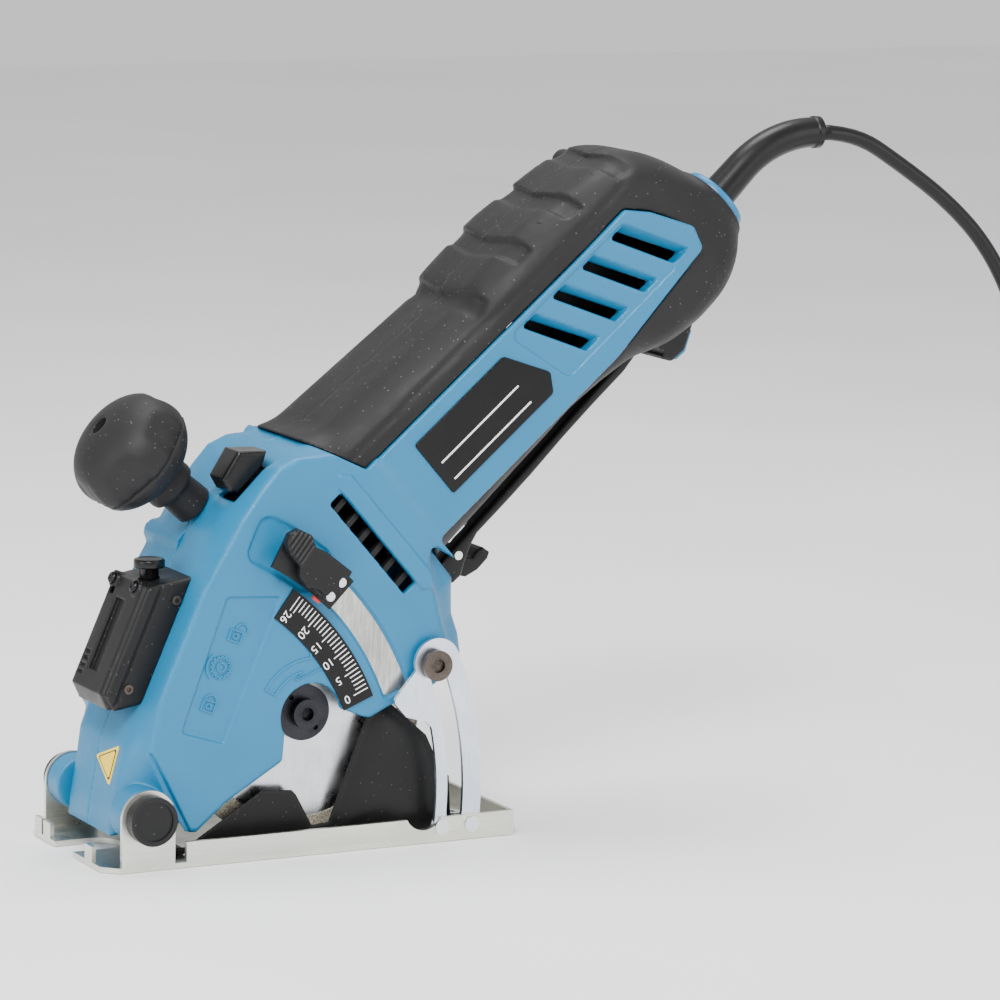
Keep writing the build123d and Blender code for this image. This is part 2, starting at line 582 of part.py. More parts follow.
# ---- scale, depth stop and markings --------------------------------------------
save("scale_plate", band(78, 89.6, 22.2, 53.5, head_y[0] - 0.6, head_y[0]))
rack = band(rack_r[0] + 0.1, rack_r[1] - 0.1, depth_slot[2] - 0.6, depth_slot[3] + 3.4, -29.75, -28.6)
save("depth_rack", rack - band(96.2, 100.4, depth_slot[2] + 1, depth_slot[3] + 2, -32, -26))
stop_y = (head_y[0] - 3.9 - 3.2, head_y[0] - 4.3)
slider = round_slot(94.8, 101.7, 47.6, 49.4, head_y[0] - 4.4, -30.0)
slider += band(91.5, 104.0, 45.5, 62.0, stop_y[0] + 1.5, stop_y[1])
save("depth_slider", slider)
save("depth_pointer", slab([polar(90.6, 48.0), polar(90.6, 49.6), polar(94.6, 50.4), polar(94.6, 47.2)],
                           stop_y[1], head_y[0] - 3.0))
lever_turn = 53.0
lever_pin = polar(92.8, lever_turn)
barrel_at = Plane(origin=(lever_pin[0], stop_y[0] + 0.1, lever_pin[1]), x_dir=(0, 1, 0),
                  z_dir=(cos(radians(lever_turn)), 0, sin(radians(lever_turn))))
lever = slab([polar(92.5, 51.0), polar(103.0, 51.0), polar(104.5, 66.0), polar(98, 69), polar(93.5, 66.0)],
             stop_y[0] - 3.2, stop_y[0] - 0.2)
for k in range(5):
    lever += band(95.0, 104.0, 57.5 + 2.2 * k, 58.6 + 2.2 * k, stop_y[0] - 4.0, stop_y[0] - 3.0)
save("depth_lever", lever + extrude(barrel_at * Circle(1.2), 10))
save("lever_pins", *[disc(polar(r, 47.6), 1.6, stop_y[0], stop_y[0] + 1.5) for r in (94.6, 100.6)])
save("caution_plate", Plane(origin=(-62.8, -8, 31), x_dir=(0, 1, 0), z_dir=(-0.94, 0, 0.34))
     * Pos(0, 0, 0.6) * Box(18, 16, 0.6))
save("guide_screw", screw(polar(arc_slot_r, guide_angle), -38.0, -28.2, 5.2, 2.45, 1.9))

# ---- paddle, lock-off and cord exit -------------------------------------------
catch_pin = at_uv(109.3, 28.2)
paddle = uv_slab([(101.5, 21.8), (106, 21.8), (115, 26.6), (122, 27.6), (148, 29.4), (170, 31), (196, 32),
                  (208, 34), (208.3, 38.2), (203.6, 38.6), (198, 36.4), (108, 31.4), (101.2, 31.2),
                  (98.4, 27.5)], -13, 13)
paddle -= uv_slab([(96, 18), (120.5, 18), (120.5, 35), (96, 35)], -7, 7)
paddle += disc(paddle_pin, 2.3, -15, 15)
paddle -= disc(catch_pin, 1.5, -14, 14)
save("paddle_lever", paddle)
save("catch_pin", disc(catch_pin, 1.5, -13, 13))
catch = disc(catch_pin, 3.1, -6.6, 6.6)
catch += uv_slab([(106.8, 29), (106.5, 18.6), (112, 16), (118, 16.2), (120.4, 17.6), (118.8, 21.5),
                  (114, 20.8), (111.8, 24), (111.6, 29)], -6.6, 6.6)
catch -= disc(catch_pin, 1.55, -10, 10)
save("lock_off_catch", catch)

collar_plane = across_motor(262.1, 48.3)
collar = extrude(collar_plane * Circle(11.3), 4.0) - extrude(collar_plane * Circle(6.2), 9)
save("cord_collar", collar)
sleeve_start = at_uv(262.6, 48.3)
rise = 16 * cos(radians(45))
sleeve_run = Line(sleeve_start, (sleeve_start[0] + rise, sleeve_start[1] + rise))
sleeve_bend = JernArc(start=sleeve_run @ 1, tangent=sleeve_run % 1, radius=41, arc_size=-48)
sleeve_line = Plane.XZ * (sleeve_run + sleeve_bend)
stations = [(0.0, 5.5), (0.35, 5.4), (0.7, 5.0), (1.0, 4.7)]
rings = [Plane(origin=sleeve_line @ t, z_dir=sleeve_line % t) * Circle(r) for t, r in stations]
sleeve = sweep(rings, sleeve_line, multisection=True)
save("bend_sleeve", sleeve)

# ---- mains cord, its coil and plug ----------------------------------------------
exit_point, exit_dir = sleeve_line @ 1, sleeve_line % 1
coil_centre, coil_in, coil_out = (359.0, -32.75), 22.0, 38.6
coil_high, plug_z = 6 * cord_r, 27.0
route = [(exit_point.X, 0, exit_point.Z),
         (exit_point.X + 15 * exit_dir.X, 0, exit_point.Z + 15 * exit_dir.Z),
         (243.5, 0, 219.5), (262, 0, 207), (277.5, -0.5, 192.5), (288, -1.5, 176), (294, -4, 158),
         (296, -12, 132), (295, -22, 106), (292.5, -32, 79), (290, -41, 51), (288.5, -47.8, 28.5),
         (292.9, -56.6, 15.8), (304, -65, 7.8), (319.3, -68.2, 4.3), (334, -68.6, 2.9), (338, -68.6, 2.85)]
lead_up = [(359, -2.45, 13.7), (345.3, -2.4, 14.2), (333.7, -9.1, 17.5), (327, -20.7, 20), (327, -34.2, 22.5),
           (333.7, -45.8, 25.5), (345.3, -52.45, plug_z), (359, -52.45, plug_z)]


def tube(points, radius):
    """A round tube along straight runs joined by arcs as large as the runs allow."""
    corners = [Vector(*p) for p in points]
    radii, length = [], 0.0
    for before, here, after in zip(corners[:-2], corners[1:-1], corners[2:]):
        turn = radians((here - before).get_angle(after - here))
        short = min((here - before).length, (after - here).length)
        radii.append(0.45 * short / tan(turn / 2))
    path = FilletPolyline(*corners, radius=radii)
    print("radii", [round(r, 1) for r in radii], "length", round(path.length, 1))
    start = Plane(origin=path @ 0, z_dir=path % 0)
    made = sweep(start * Circle(radius), path)
    print("volume", round(made.volume, 1), "section x length", round(pi * radius ** 2 * path.length, 1))
    return made


save("mains_cord", tube(route, cord_r), tube(lead_up, cord_r))
save("cord_coil", Pos(coil_centre[0], coil_centre[1], coil_high / 2)
     * (Cylinder(coil_out, coil_high) - Cylinder(coil_in, coil_high)))


def plug():
    inlet = Plane(origin=lead_up[-1], x_dir=(0, 1, 0), z_dir=(1, 0, 0))
    relief = loft([inlet * Circle(3.6), inlet.offset(relief_long) * Circle(5.5)])
    shoulder, face = relief_long + 10, relief_long + plug_long
    body = loft([inlet.offset(relief_long) * RectangleRounded(14, 14, 4),
                 inlet.offset(shoulder) * RectangleRounded(30, 20, 6),
                 inlet.offset(face) * RectangleRounded(36, 20.6, 8)], ruled=True)
    pins = [extrude(inlet.offset(face) * Pos(side * 9.5, 0) * Circle(2.4), 19) for side in (-1, 1)]
    return relief, body, *pins


relief_long, plug_long = 18, 30
save("mains_plug", *plug())
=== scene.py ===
import json
from math import cos, pi, radians, sin

import bmesh
import bpy
import numpy as np
import openvdb
from mathutils import Matrix, Vector


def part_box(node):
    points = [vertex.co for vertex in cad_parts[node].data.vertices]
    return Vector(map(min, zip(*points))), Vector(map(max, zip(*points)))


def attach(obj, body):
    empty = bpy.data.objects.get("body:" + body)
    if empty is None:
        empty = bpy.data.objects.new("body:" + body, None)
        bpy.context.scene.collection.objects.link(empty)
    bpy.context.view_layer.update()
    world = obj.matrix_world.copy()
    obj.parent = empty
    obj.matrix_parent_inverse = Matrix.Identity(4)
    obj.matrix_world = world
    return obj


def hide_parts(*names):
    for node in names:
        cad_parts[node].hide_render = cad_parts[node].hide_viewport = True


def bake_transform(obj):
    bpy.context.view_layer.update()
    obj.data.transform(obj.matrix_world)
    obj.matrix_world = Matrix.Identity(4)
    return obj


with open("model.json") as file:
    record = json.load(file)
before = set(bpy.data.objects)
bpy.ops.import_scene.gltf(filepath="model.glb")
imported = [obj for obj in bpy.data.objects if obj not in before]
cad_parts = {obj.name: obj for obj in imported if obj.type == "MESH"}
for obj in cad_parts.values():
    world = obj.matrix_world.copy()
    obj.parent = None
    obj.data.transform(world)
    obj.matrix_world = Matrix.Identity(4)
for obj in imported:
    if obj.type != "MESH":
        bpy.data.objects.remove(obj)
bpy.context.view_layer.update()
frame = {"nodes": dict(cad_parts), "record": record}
nodes = frame["nodes"]

# Lengths below are millimetres in the row frame; MM turns them into metres.
MM = 0.001
HANDLE_TILT = radians(41.0)
CT, ST = cos(HANDLE_TILT), sin(HANDLE_TILT)
PIVOT = (-59.6, 17.5)
SPINDLE = (1.0, 46.0)
FACE_Y, FAR_Y = -31.0, 28.0
CORD_R = 2.75
WALL = 2.5
CHAMFER = 12.0                       # how far in from its face the head reaches its full outline
PANEL_Y, PANEL_EDGE = 30.4, 27.4     # outer side and inner edge of the blue strip along the handle
PIVOT_R = 9.3
VENT_LEAN = 12.7 / 23


# ---- small tools ------------------------------------------------------------
def srgb(r, g, b):
    """8-bit display values as the linear colour that a shader wants."""
    values = [c / 255 for c in (r, g, b)]
    return [c / 12.92 if c <= 0.04045 else ((c + 0.055) / 1.055) ** 2.4 for c in values]


def at_uv(u, v):
    """A point of the handle frame as X, Z."""
    return (u * CT - v * ST, u * ST + v * CT)


def polar(r, angle, centre=PIVOT):
    a = radians(angle)
    return (centre[0] + r * cos(a), centre[1] + r * sin(a))


def add_mesh(name, points, faces, body, material, smooth=True, stands_for=()):
    """A new piece, in metres, from points in millimetres."""
    mesh = bpy.data.meshes.new(name)
    mesh.from_pydata([tuple(float(c) * MM for c in p) for p in points], [], faces)
    mesh.validate()
    piece = bpy.data.objects.new(name, mesh)
    bpy.context.scene.collection.objects.link(piece)
    return finish_piece(piece, body, material, smooth, stands_for)


def finish_piece(piece, body, material, smooth=True, stands_for=()):
    piece.data.materials.clear()
    piece.data.materials.append(material)
    if smooth:
        piece.data.shade_smooth()
    if body:
        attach(piece, body)
    if stands_for:
        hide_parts(*stands_for)
    return piece


def weighted_normals(mesh):
    """Normals weighted by face area, so flat faces stay flat beside a rounded edge."""
    mesh.calc_loop_triangles()
    count = len(mesh.loop_triangles)
    tris = np.empty(count * 3, np.int32)
    mesh.loop_triangles.foreach_get("vertices", tris)
    tris = tris.reshape(-1, 3)
    co = np.empty(len(mesh.vertices) * 3, np.float32)
    mesh.vertices.foreach_get("co", co)
    co = co.reshape(-1, 3)
    cross = np.cross(co[tris[:, 1]] - co[tris[:, 0]], co[tris[:, 2]] - co[tris[:, 0]])
    normals = np.zeros_like(co)
    for corner in range(3):
        np.add.at(normals, tris[:, corner], cross)
    lengths = np.linalg.norm(normals, axis=1, keepdims=True)
    normals /= np.maximum(lengths, 1e-12)
    mesh.normals_split_custom_set_from_vertices(normals.tolist())


def turn_outward(piece):
    bm = bmesh.new()
    bm.from_mesh(piece.data)
    bmesh.ops.recalc_face_normals(bm, faces=bm.faces)
    bm.to_mesh(piece.data)
    bm.free()


# ---- distance fields on a grid -----------------------------------------------
class Grid:
    """A block of sample points; a, b, c are its coordinates as open arrays."""

    def __init__(self, low, high, step):
        self.low, self.step = np.array(low, float), step
        counts = [int(round((h - l) / step)) + 1 for l, h in zip(low, high)]
        axes = [np.float32(l + step * np.arange(n)) for l, n in zip(low, counts)]
        self.a = axes[0][:, None, None]
        self.b = axes[1][None, :, None]
        self.c = axes[2][None, None, :]


def outline(points, a, b):
    """Signed distance to a closed outline, negative inside."""
    shape = np.broadcast_shapes(a.shape, b.shape)
    best = np.full(shape, 1e9, np.float32)
    inside = np.zeros(shape, bool)
    for (p0, p1), (q0, q1) in zip(points, points[1:] + points[:1]):
        e0, e1 = q0 - p0, q1 - p1
        t = np.clip(((a - p0) * e0 + (b - p1) * e1) / (e0 * e0 + e1 * e1 + 1e-12), 0, 1)
        best = np.minimum(best, (a - p0 - t * e0) ** 2 + (b - p1 - t * e1) ** 2)
        if abs(e1) > 1e-9:
            crosses = (b >= min(p1, q1)) & (b < max(p1, q1))
            inside ^= crosses & (a < p0 + (b - p1) * e0 / e1)
    return np.where(inside, -1, 1) * np.sqrt(best)


def disc(centre, r, a, b):
    return np.sqrt((a - centre[0]) ** 2 + (b - centre[1]) ** 2) - r


def arc_band(r0, r1, a0, a1, x, z, centre=PIVOT, ends=0.0):
    """Distance to an arc band about a centre, its ends square or rounded."""
    radius = np.sqrt((x - centre[0]) ** 2 + (z - centre[1]) ** 2)
    angle = np.arctan2(z - centre[1], x - centre[0])
    mid, half = radians(a0 + a1) / 2, radians(a1 - a0) / 2
    across = np.abs(radius - (r0 + r1) / 2) - (r1 - r0) / 2 + ends
    along = (np.abs(angle - mid) - half) * (r0 + r1) / 2 + ends
    outside = np.sqrt(np.maximum(across, 0) ** 2 + np.maximum(along, 0) ** 2)
    return outside + np.minimum(np.maximum(across, along), 0) - ends


def slab(flat, c, c0, c1, edge=0.0):
    """A flat shape given thickness from c0 to c1, its rims rounded by edge."""
    p = flat + edge
    q = np.abs(c - (c0 + c1) / 2) - (c1 - c0) / 2 + edge
    outside = np.sqrt(np.maximum(p, 0) ** 2 + np.maximum(q, 0) ** 2)
    return outside + np.minimum(np.maximum(p, q), 0) - edge


def join(a, b, soft=0.0):
    """Either shape, with a fillet of size soft where they meet."""
    if soft <= 0:
        return np.minimum(a, b)
    h = np.maximum(soft - np.abs(a - b), 0) / soft
    return np.minimum(a, b) - h * h * soft / 4


def cut(a, b, soft=0.0):
    """What is in a and not in b."""
    return -join(-a, b, soft)


def both(a, b, soft=0.0):
    """What is in a and in b."""
    return cut(a, -b, soft)


def surface(name, field, grid, body, material, to_row=None, thin=0.0, stands_for=()):
    """The zero surface of a field as a piece; to_row turns grid points into X, Y, Z."""
    edge = 3 * grid.step
    volume = openvdb.FloatGrid(edge)
    volume.copyFromArray(np.clip(np.broadcast_to(field, np.broadcast_shapes(
        field.shape, grid.a.shape, grid.b.shape, grid.c.shape)), -edge, edge).astype(np.float32))
    volume.gridClass = openvdb.GridClass.LEVEL_SET
    points, tris, quads = volume.convertToPolygons(0.0, thin)
    points = points * grid.step + grid.low
    if to_row:
        points = to_row(points)
    faces = [tuple(int(i) for i in f) for f in tris] + [tuple(int(i) for i in f) for f in quads]
    piece = add_mesh(name, points, faces, body, material, True, stands_for)
    mesh = piece.data
    mesh.calc_loop_triangles()
    tri = np.array([t.vertices[:] for t in mesh.loop_triangles])
    co = np.array([v.co[:] for v in mesh.vertices])
    volume_sum = np.einsum("ij,ij->i", co[tri[:, 0]], np.cross(co[tri[:, 1]], co[tri[:, 2]])).sum()
    if volume_sum < 0:
        mesh.flip_normals()
    mesh.update()
    weighted_normals(mesh)
    return piece


def handle_to_row(points):
    """Grid axes u, y, v to X, Y, Z."""
    u, y, v = points[:, 0], points[:, 1], points[:, 2]
    return np.stack([u * CT - v * ST, y, u * ST + v * CT], axis=1)


# ---- bevelled plates, lathes and tubes --------------------------------------------
def plate(name, points, y0, y1, bevel, body, material, stands_for=()):
    """An X, Z outline given thickness along Y, with rounded edges."""
    bm = bmesh.new()
    near = [bm.verts.new((x * MM, y0 * MM, z * MM)) for x, z in points]
    bottom = bm.faces.new(near)
    made = bmesh.ops.extrude_face_region(bm, geom=[bottom])
    moved = [g for g in made["geom"] if isinstance(g, bmesh.types.BMVert)]
    bmesh.ops.translate(bm, verts=moved, vec=(0, (y1 - y0) * MM, 0))
    bmesh.ops.recalc_face_normals(bm, faces=bm.faces)
    if bevel > 0:
        sharp = [e for e in bm.edges if e.calc_face_angle(0) > radians(20)]
        bmesh.ops.bevel(bm, geom=sharp, offset=bevel * MM, segments=3, profile=0.5, affect="EDGES",
                        clamp_overlap=True)
    mesh = bpy.data.meshes.new(name)
    bm.to_mesh(mesh)
    bm.free()
    piece = bpy.data.objects.new(name, mesh)
    bpy.context.scene.collection.objects.link(piece)
    finish_piece(piece, body, material, True, stands_for)
    weighted_normals(piece.data)
    return piece


def ring_faces(rings, segments):
    """Quads between rings of points that follow each other."""
    faces = []
    for i in range(rings - 1):
        here, there = i * segments, (i + 1) * segments
        for k in range(segments):
            j = (k + 1) % segments
            faces.append((here + k, here + j, there + j, there + k))
    return faces


def lathe(name, profile, origin, axis, body, material, segments=96, dent=None, stands_for=()):
    """A profile of (radius, distance) turned about an axis; dent(angle, t) is taken off the radius."""
    axis = Vector(axis).normalized()
    side = Vector((0, 1, 0))
    third = axis.cross(side)
    points = []
    for r, t in profile:
        for k in range(segments):
            a = 2 * pi * k / segments
            here = max(r - (dent(a, t) if dent else 0), 0.01)
            points.append(Vector(origin) + axis * t + (side * cos(a) + third * sin(a)) * here)
    faces = ring_faces(len(profile), segments)
    faces.append(tuple(range(segments)))
    faces.append(tuple(reversed(range((len(profile) - 1) * segments, len(profile) * segments))))
    piece = add_mesh(name, points, faces, body, material, True, stands_for)
    turn_outward(piece)
    weighted_normals(piece.data)
    return piece


def curve_points(points, resolution=10, order=3):
    """Points along the smooth NURBS line of these control points, in millimetres."""
    curve = bpy.data.curves.new("guide", "CURVE")
    curve.dimensions = "3D"
    curve.resolution_u = resolution
    spline = curve.splines.new("NURBS")
    spline.points.add(len(points) - 1)
    for point, place in zip(spline.points, points):
        point.co = (*[c * MM for c in place], 1)
    spline.order_u = order
    spline.use_endpoint_u = True
    holder = bpy.data.objects.new("guide", curve)
    bpy.context.scene.collection.objects.link(holder)
    bpy.context.view_layer.update()
    mesh = bpy.data.meshes.new_from_object(holder)
    line = [Vector(v.co) / MM for v in mesh.vertices]
    bpy.data.objects.remove(holder)
    bpy.data.curves.remove(curve)
    bpy.data.meshes.remove(mesh)
    return line


def tube(name, line, radius, body, material, segments=20, stands_for=()):
    """A round tube along points; radius is a number or a function of the distance along it."""
    points, run = [], 0.0
    tangent = (line[1] - line[0]).normalized()
    side = tangent.orthogonal().normalized()
    for i, here in enumerate(line):
        ahead = (line[min(i + 1, len(line) - 1)] - line[max(i - 1, 0)]).normalized()
        side = (side - ahead * side.dot(ahead)).normalized()
        third = ahead.cross(side)
        run += (here - line[i - 1]).length if i else 0.0
        r = radius(run) if callable(radius) else radius
        for k in range(segments):
            a = 2 * pi * k / segments
            points.append(here + (side * cos(a) + third * sin(a)) * r)
    faces = ring_faces(len(line), segments)
    faces.append(tuple(reversed(range(segments))))
    faces.append(tuple(range((len(line) - 1) * segments, len(line) * segments)))
    return add_mesh(name, points, faces, body, material, True, stands_for)


# ---- materials ---------------------------------------------------------------------
class Shade:
    """A Principled material with its helper nodes."""

    def __init__(self, name, **values):
        self.material = bpy.data.materials.new(name)
        self.material.use_nodes = True
        self.tree = self.material.node_tree
        self.shader = self.tree.nodes["Principled BSDF"]
        for key, value in values.items():
            self.shader.inputs[key].default_value = value
        self.place = self.tree.nodes.new("ShaderNodeTexCoord").outputs["Object"]

    def link(self, a, b):
        self.tree.links.new(a, b)

    def mapped(self, scale, shift=(0, 0, 0)):
        node = self.tree.nodes.new("ShaderNodeMapping")
        node.inputs["Scale"].default_value = scale
        node.inputs["Location"].default_value = shift
        self.link(self.place, node.inputs["Vector"])
        return node.outputs["Vector"]

    def noise(self, scale, detail=3.0, rough=0.5, vector=None):
        node = self.tree.nodes.new("ShaderNodeTexNoise")
        node.inputs["Scale"].default_value = scale
        node.inputs["Detail"].default_value = detail
        node.inputs["Roughness"].default_value = rough
        self.link(vector if vector is not None else self.place, node.inputs["Vector"])
        return node.outputs["Fac"]

    def voronoi(self, scale, vector=None, output="Distance"):
        node = self.tree.nodes.new("ShaderNodeTexVoronoi")
        node.inputs["Scale"].default_value = scale
        self.link(vector if vector is not None else self.place, node.inputs["Vector"])
        return node.outputs[output]

    def ramp(self, value, low, high, start=0.35, end=0.65):
        node = self.tree.nodes.new("ShaderNodeValToRGB")
        node.color_ramp.elements[0].position = start
        node.color_ramp.elements[1].position = end
        node.color_ramp.elements[0].color = (*low, 1)
        node.color_ramp.elements[1].color = (*high, 1)
        self.link(value, node.inputs["Fac"])
        return node.outputs["Color"]

    def fit(self, value, low, high, start=0.3, end=0.7):
        node = self.tree.nodes.new("ShaderNodeMapRange")
        node.inputs["From Min"].default_value = start
        node.inputs["From Max"].default_value = end
        node.inputs["To Min"].default_value = low
        node.inputs["To Max"].default_value = high
        self.link(value, node.inputs["Value"])
        return node.outputs["Result"]

    def mix(self, amount, a, b, mode="MIX"):
        node = self.tree.nodes.new("ShaderNodeMix")
        node.data_type = "RGBA"
        node.blend_type = mode
        for value, key in ((amount, 0), (a, 6), (b, 7)):
            if hasattr(value, "is_linked"):
                self.link(value, node.inputs[key])
            elif key:
                node.inputs[key].default_value = (*value, 1)
            else:
                node.inputs[key].default_value = value
        return node.outputs[2]

    def bump(self, height, strength, distance, after=None):
        node = self.tree.nodes.new("ShaderNodeBump")
        node.inputs["Strength"].default_value = strength
        node.inputs["Distance"].default_value = distance
        self.link(height, node.inputs["Height"])
        if after is not None:
            self.link(after, node.inputs["Normal"])
        return node.outputs["Normal"]

    def worn_edges(self, colour, light, low=0.52, high=0.62, amount=0.5):
        """A lighter tone where the surface is most convex."""
        geometry = self.tree.nodes.new("ShaderNodeNewGeometry")
        edge = self.fit(geometry.outputs["Pointiness"], 0.0, amount, low, high)
        return self.mix(edge, colour, light)

    def colour(self, source):
        self.link(source, self.shader.inputs["Base Color"])

    def rough(self, source):
        self.link(source, self.shader.inputs["Roughness"])

    def normal(self, source):
        self.link(source, self.shader.inputs["Normal"])


def scaled(colour, k):
    return [min(c * k, 1.0) for c in colour]


def moulded(name, colour, rough=0.42, spread=0.07, grain=2600.0, depth=0.00006, light=1.6, wear=0.35,
            specular=0.5, dust=0.0):
    """Moulded plastic or rubber: soft tone patches, a fine spark-eroded grain and rubbed edges."""
    s = Shade(name, **{"Specular IOR Level": specular})
    patches = s.noise(34.0, 4.0)
    tone = s.ramp(patches, scaled(colour, 1 - spread), scaled(colour, 1 + spread))
    fine = s.noise(grain, 2.0)
    speckle = s.ramp(fine, scaled(colour, 0.9), scaled(colour, 1.1))
    tone = s.mix(0.35, tone, speckle)
    tone = s.worn_edges(tone, scaled(colour, light), amount=wear)
    if dust:
        spots = s.fit(s.voronoi(420.0), dust, 0.0, 0.0, 0.11)
        tone = s.mix(spots, tone, srgb(196, 192, 186))
    s.colour(tone)
    s.rough(s.fit(s.noise(90.0, 4.0), rough - 0.06, rough + 0.08))
    s.normal(s.bump(fine, 0.55, depth, s.bump(s.noise(240.0, 2.0), 0.12, 0.0002)))
    return s.material


def plated(name, low, high, rough=0.3, grain=(60.0, 1400.0, 1400.0), depth=0.00002, aniso=0.4, tint=None):
    """Rolled or turned metal: stretched brush lines, cloudy plating and a few scuffs."""
    s = Shade(name, Metallic=1.0, Anisotropic=aniso)
    lines = s.noise(1.0, 3.0, 0.6, s.mapped(grain))
    cloud = s.noise(55.0, 4.0, 0.6)
    tone = s.mix(0.45, s.ramp(lines, low, high), s.ramp(cloud, low, high))
    if tint:
        tone = s.mix(s.fit(s.noise(26.0, 3.0), 0.0, 0.45, 0.5, 0.72), tone, tint)
    s.colour(s.worn_edges(tone, scaled(high, 1.25), amount=0.5))
    s.rough(s.fit(s.noise(130.0, 4.0), rough - 0.07, rough + 0.12))
    s.normal(s.bump(lines, 0.35, depth))
    return s.material


def gritty(name):
    """Diamond grit sintered on the rim."""
    s = Shade(name, Metallic=0.35)
    grains = s.voronoi(1500.0)
    s.colour(s.ramp(grains, srgb(92, 88, 80), srgb(176, 168, 150), 0.1, 0.7))
    s.rough(s.fit(s.noise(900.0), 0.5, 0.8))
    s.normal(s.bump(grains, 0.9, 0.0002))
    return s.material


def printed(name, colour, rough=0.35, flake=0.06):
    """Ink or a printed label, slightly uneven."""
    s = Shade(name, **{"Specular IOR Level": 0.25})
    s.colour(s.ramp(s.noise(600.0, 3.0), scaled(colour, 1 - flake), scaled(colour, 1 + flake)))
    s.rough(s.fit(s.noise(150.0, 3.0), rough - 0.05, rough + 0.08))
    s.normal(s.bump(s.noise(1800.0, 2.0), 0.15, 0.00003))
    return s.material


def wound(name):
    """Enamelled copper wire."""
    s = Shade(name, Metallic=0.9)
    strands = s.noise(1.0, 2.0, 0.5, s.mapped((1600.0, 200.0, 1600.0)))
    s.colour(s.ramp(strands, srgb(116, 56, 26), srgb(206, 120, 62)))
    s.rough(s.fit(s.noise(200.0), 0.28, 0.45))
    s.normal(s.bump(strands, 0.8, 0.0002))
    return s.material


def tinted_glass(name):
    s = Shade(name, **{"Transmission Weight": 0.85, "IOR": 1.45})
    s.colour(s.ramp(s.noise(300.0), srgb(120, 20, 22), srgb(160, 34, 36)))
    s.rough(s.fit(s.noise(400.0), 0.04, 0.12))
    return s.material


EVEN_GRAIN = (1500.0, 1500.0, 1500.0)
blue_shell = moulded("blue_shell", srgb(8, 108, 150), 0.40, 0.04, 3000.0, 0.00005, 1.35, 0.3)
blue_ring = moulded("blue_ring", srgb(4, 104, 152), 0.34, 0.05, 2400.0, 0.00003)
charcoal_rubber = moulded("charcoal_rubber", srgb(30, 29, 30), 0.52, 0.10, 2600.0, 0.00007, 1.9, 0.4, 0.22,
                          0.4)
black_body = moulded("black_body", srgb(20, 20, 21), 0.4, 0.10, 2200.0, 0.00006, 1.9, 0.4, 0.25, 0.25)
black_satin = moulded("black_satin", srgb(12, 12, 13), 0.28, 0.08, 2000.0, 0.00003, 1.7, 0.3, 0.3)
guard_plastic = moulded("guard_plastic", srgb(16, 16, 16), 0.42, 0.08, 2400.0, 0.00006, 1.7, 0.3, 0.25, 0.2)
gloss_label = printed("gloss_label", srgb(6, 6, 7), 0.16, 0.05)
scale_ground = printed("scale_ground", srgb(10, 10, 11), 0.36)
white_ink = printed("white_ink", srgb(232, 232, 230), 0.4)
signal_yellow = printed("signal_yellow", srgb(240, 205, 40), 0.3)
dark_ink = printed("dark_ink", srgb(26, 26, 26), 0.4)
pointer_red = moulded("pointer_red", srgb(205, 52, 44), 0.35, 0.05)
sole_zinc = plated("sole_zinc", srgb(178, 178, 170), srgb(214, 214, 206), 0.33, (40.0, 1500.0, 1500.0),
                   tint=srgb(190, 186, 160))
bracket_zinc = plated("bracket_zinc", srgb(176, 184, 196), srgb(214, 220, 230), 0.3, (900.0, 900.0, 120.0),
                      tint=srgb(168, 182, 204))
dark_steel = plated("dark_steel", srgb(52, 46, 42), srgb(92, 84, 78), 0.36, (1200.0, 1200.0, 1200.0))
black_oxide = plated("black_oxide", srgb(26, 26, 28), srgb(54, 54, 58), 0.34, (1300.0, 1300.0, 1300.0))
bright_steel = plated("bright_steel", srgb(176, 178, 182), srgb(226, 228, 230), 0.22, EVEN_GRAIN)
spring_steel = plated("spring_steel", srgb(120, 118, 114), srgb(176, 174, 170), 0.3, EVEN_GRAIN)
blade_steel = plated("blade_steel", srgb(164, 166, 168), srgb(206, 208, 210), 0.27, (1500.0, 1500.0, 90.0))
slide_steel = plated("slide_steel", srgb(150, 150, 148), srgb(206, 206, 202), 0.3, (1400.0, 1400.0, 120.0))
cast_alloy = plated("cast_alloy", srgb(128, 130, 132), srgb(178, 180, 182), 0.45, (700.0, 700.0, 700.0),
                    0.00012)
lamination = plated("lamination", srgb(84, 84, 88), srgb(138, 138, 142), 0.4, (200.0, 200.0, 2600.0), 0.0001)
copper_wire = wound("copper_wire")
grit = gritty("grit")
laser_glass = tinted_glass("laser_glass")
cord_rubber = moulded("cord_rubber", srgb(16, 16, 17), 0.34, 0.08, 1500.0, 0.00004, 1.6, 0.2, 0.25)

FINISH = {"sole_zinc": sole_zinc, "bracket_zinc": bracket_zinc, "dark_steel": dark_steel,
          "bright_steel": bright_steel, "spring_steel": spring_steel, "blue_plastic": blue_shell,
          "black_plastic": black_body, "black_grip": charcoal_rubber, "black_gloss": gloss_label,
          "caution_yellow": signal_yellow, "scale_black": scale_ground, "blade_steel": blade_steel,
          "diamond_rim": grit, "cast_alloy": cast_alloy, "copper": copper_wire,
          "laminated_steel": lamination, "red_plastic": pointer_red, "laser_glass": laser_glass,
          "cord_rubber": cord_rubber}
OWN_FINISH = {"blade_bolt": black_oxide, "outer_flange": black_oxide, "pivot_caps": black_body,
              "lever_pins": bright_steel}
slot_of = {entry["node"]: entry["material_slot"] for entry in frame["record"]["subparts"]}
for name, node in nodes.items():
    finish = OWN_FINISH.get(name) or FINISH.get(slot_of.get(name, "black_plastic"), black_body)
    for place in node.material_slots:
        place.material = finish
    if not node.material_slots:
        node.data.materials.append(finish)


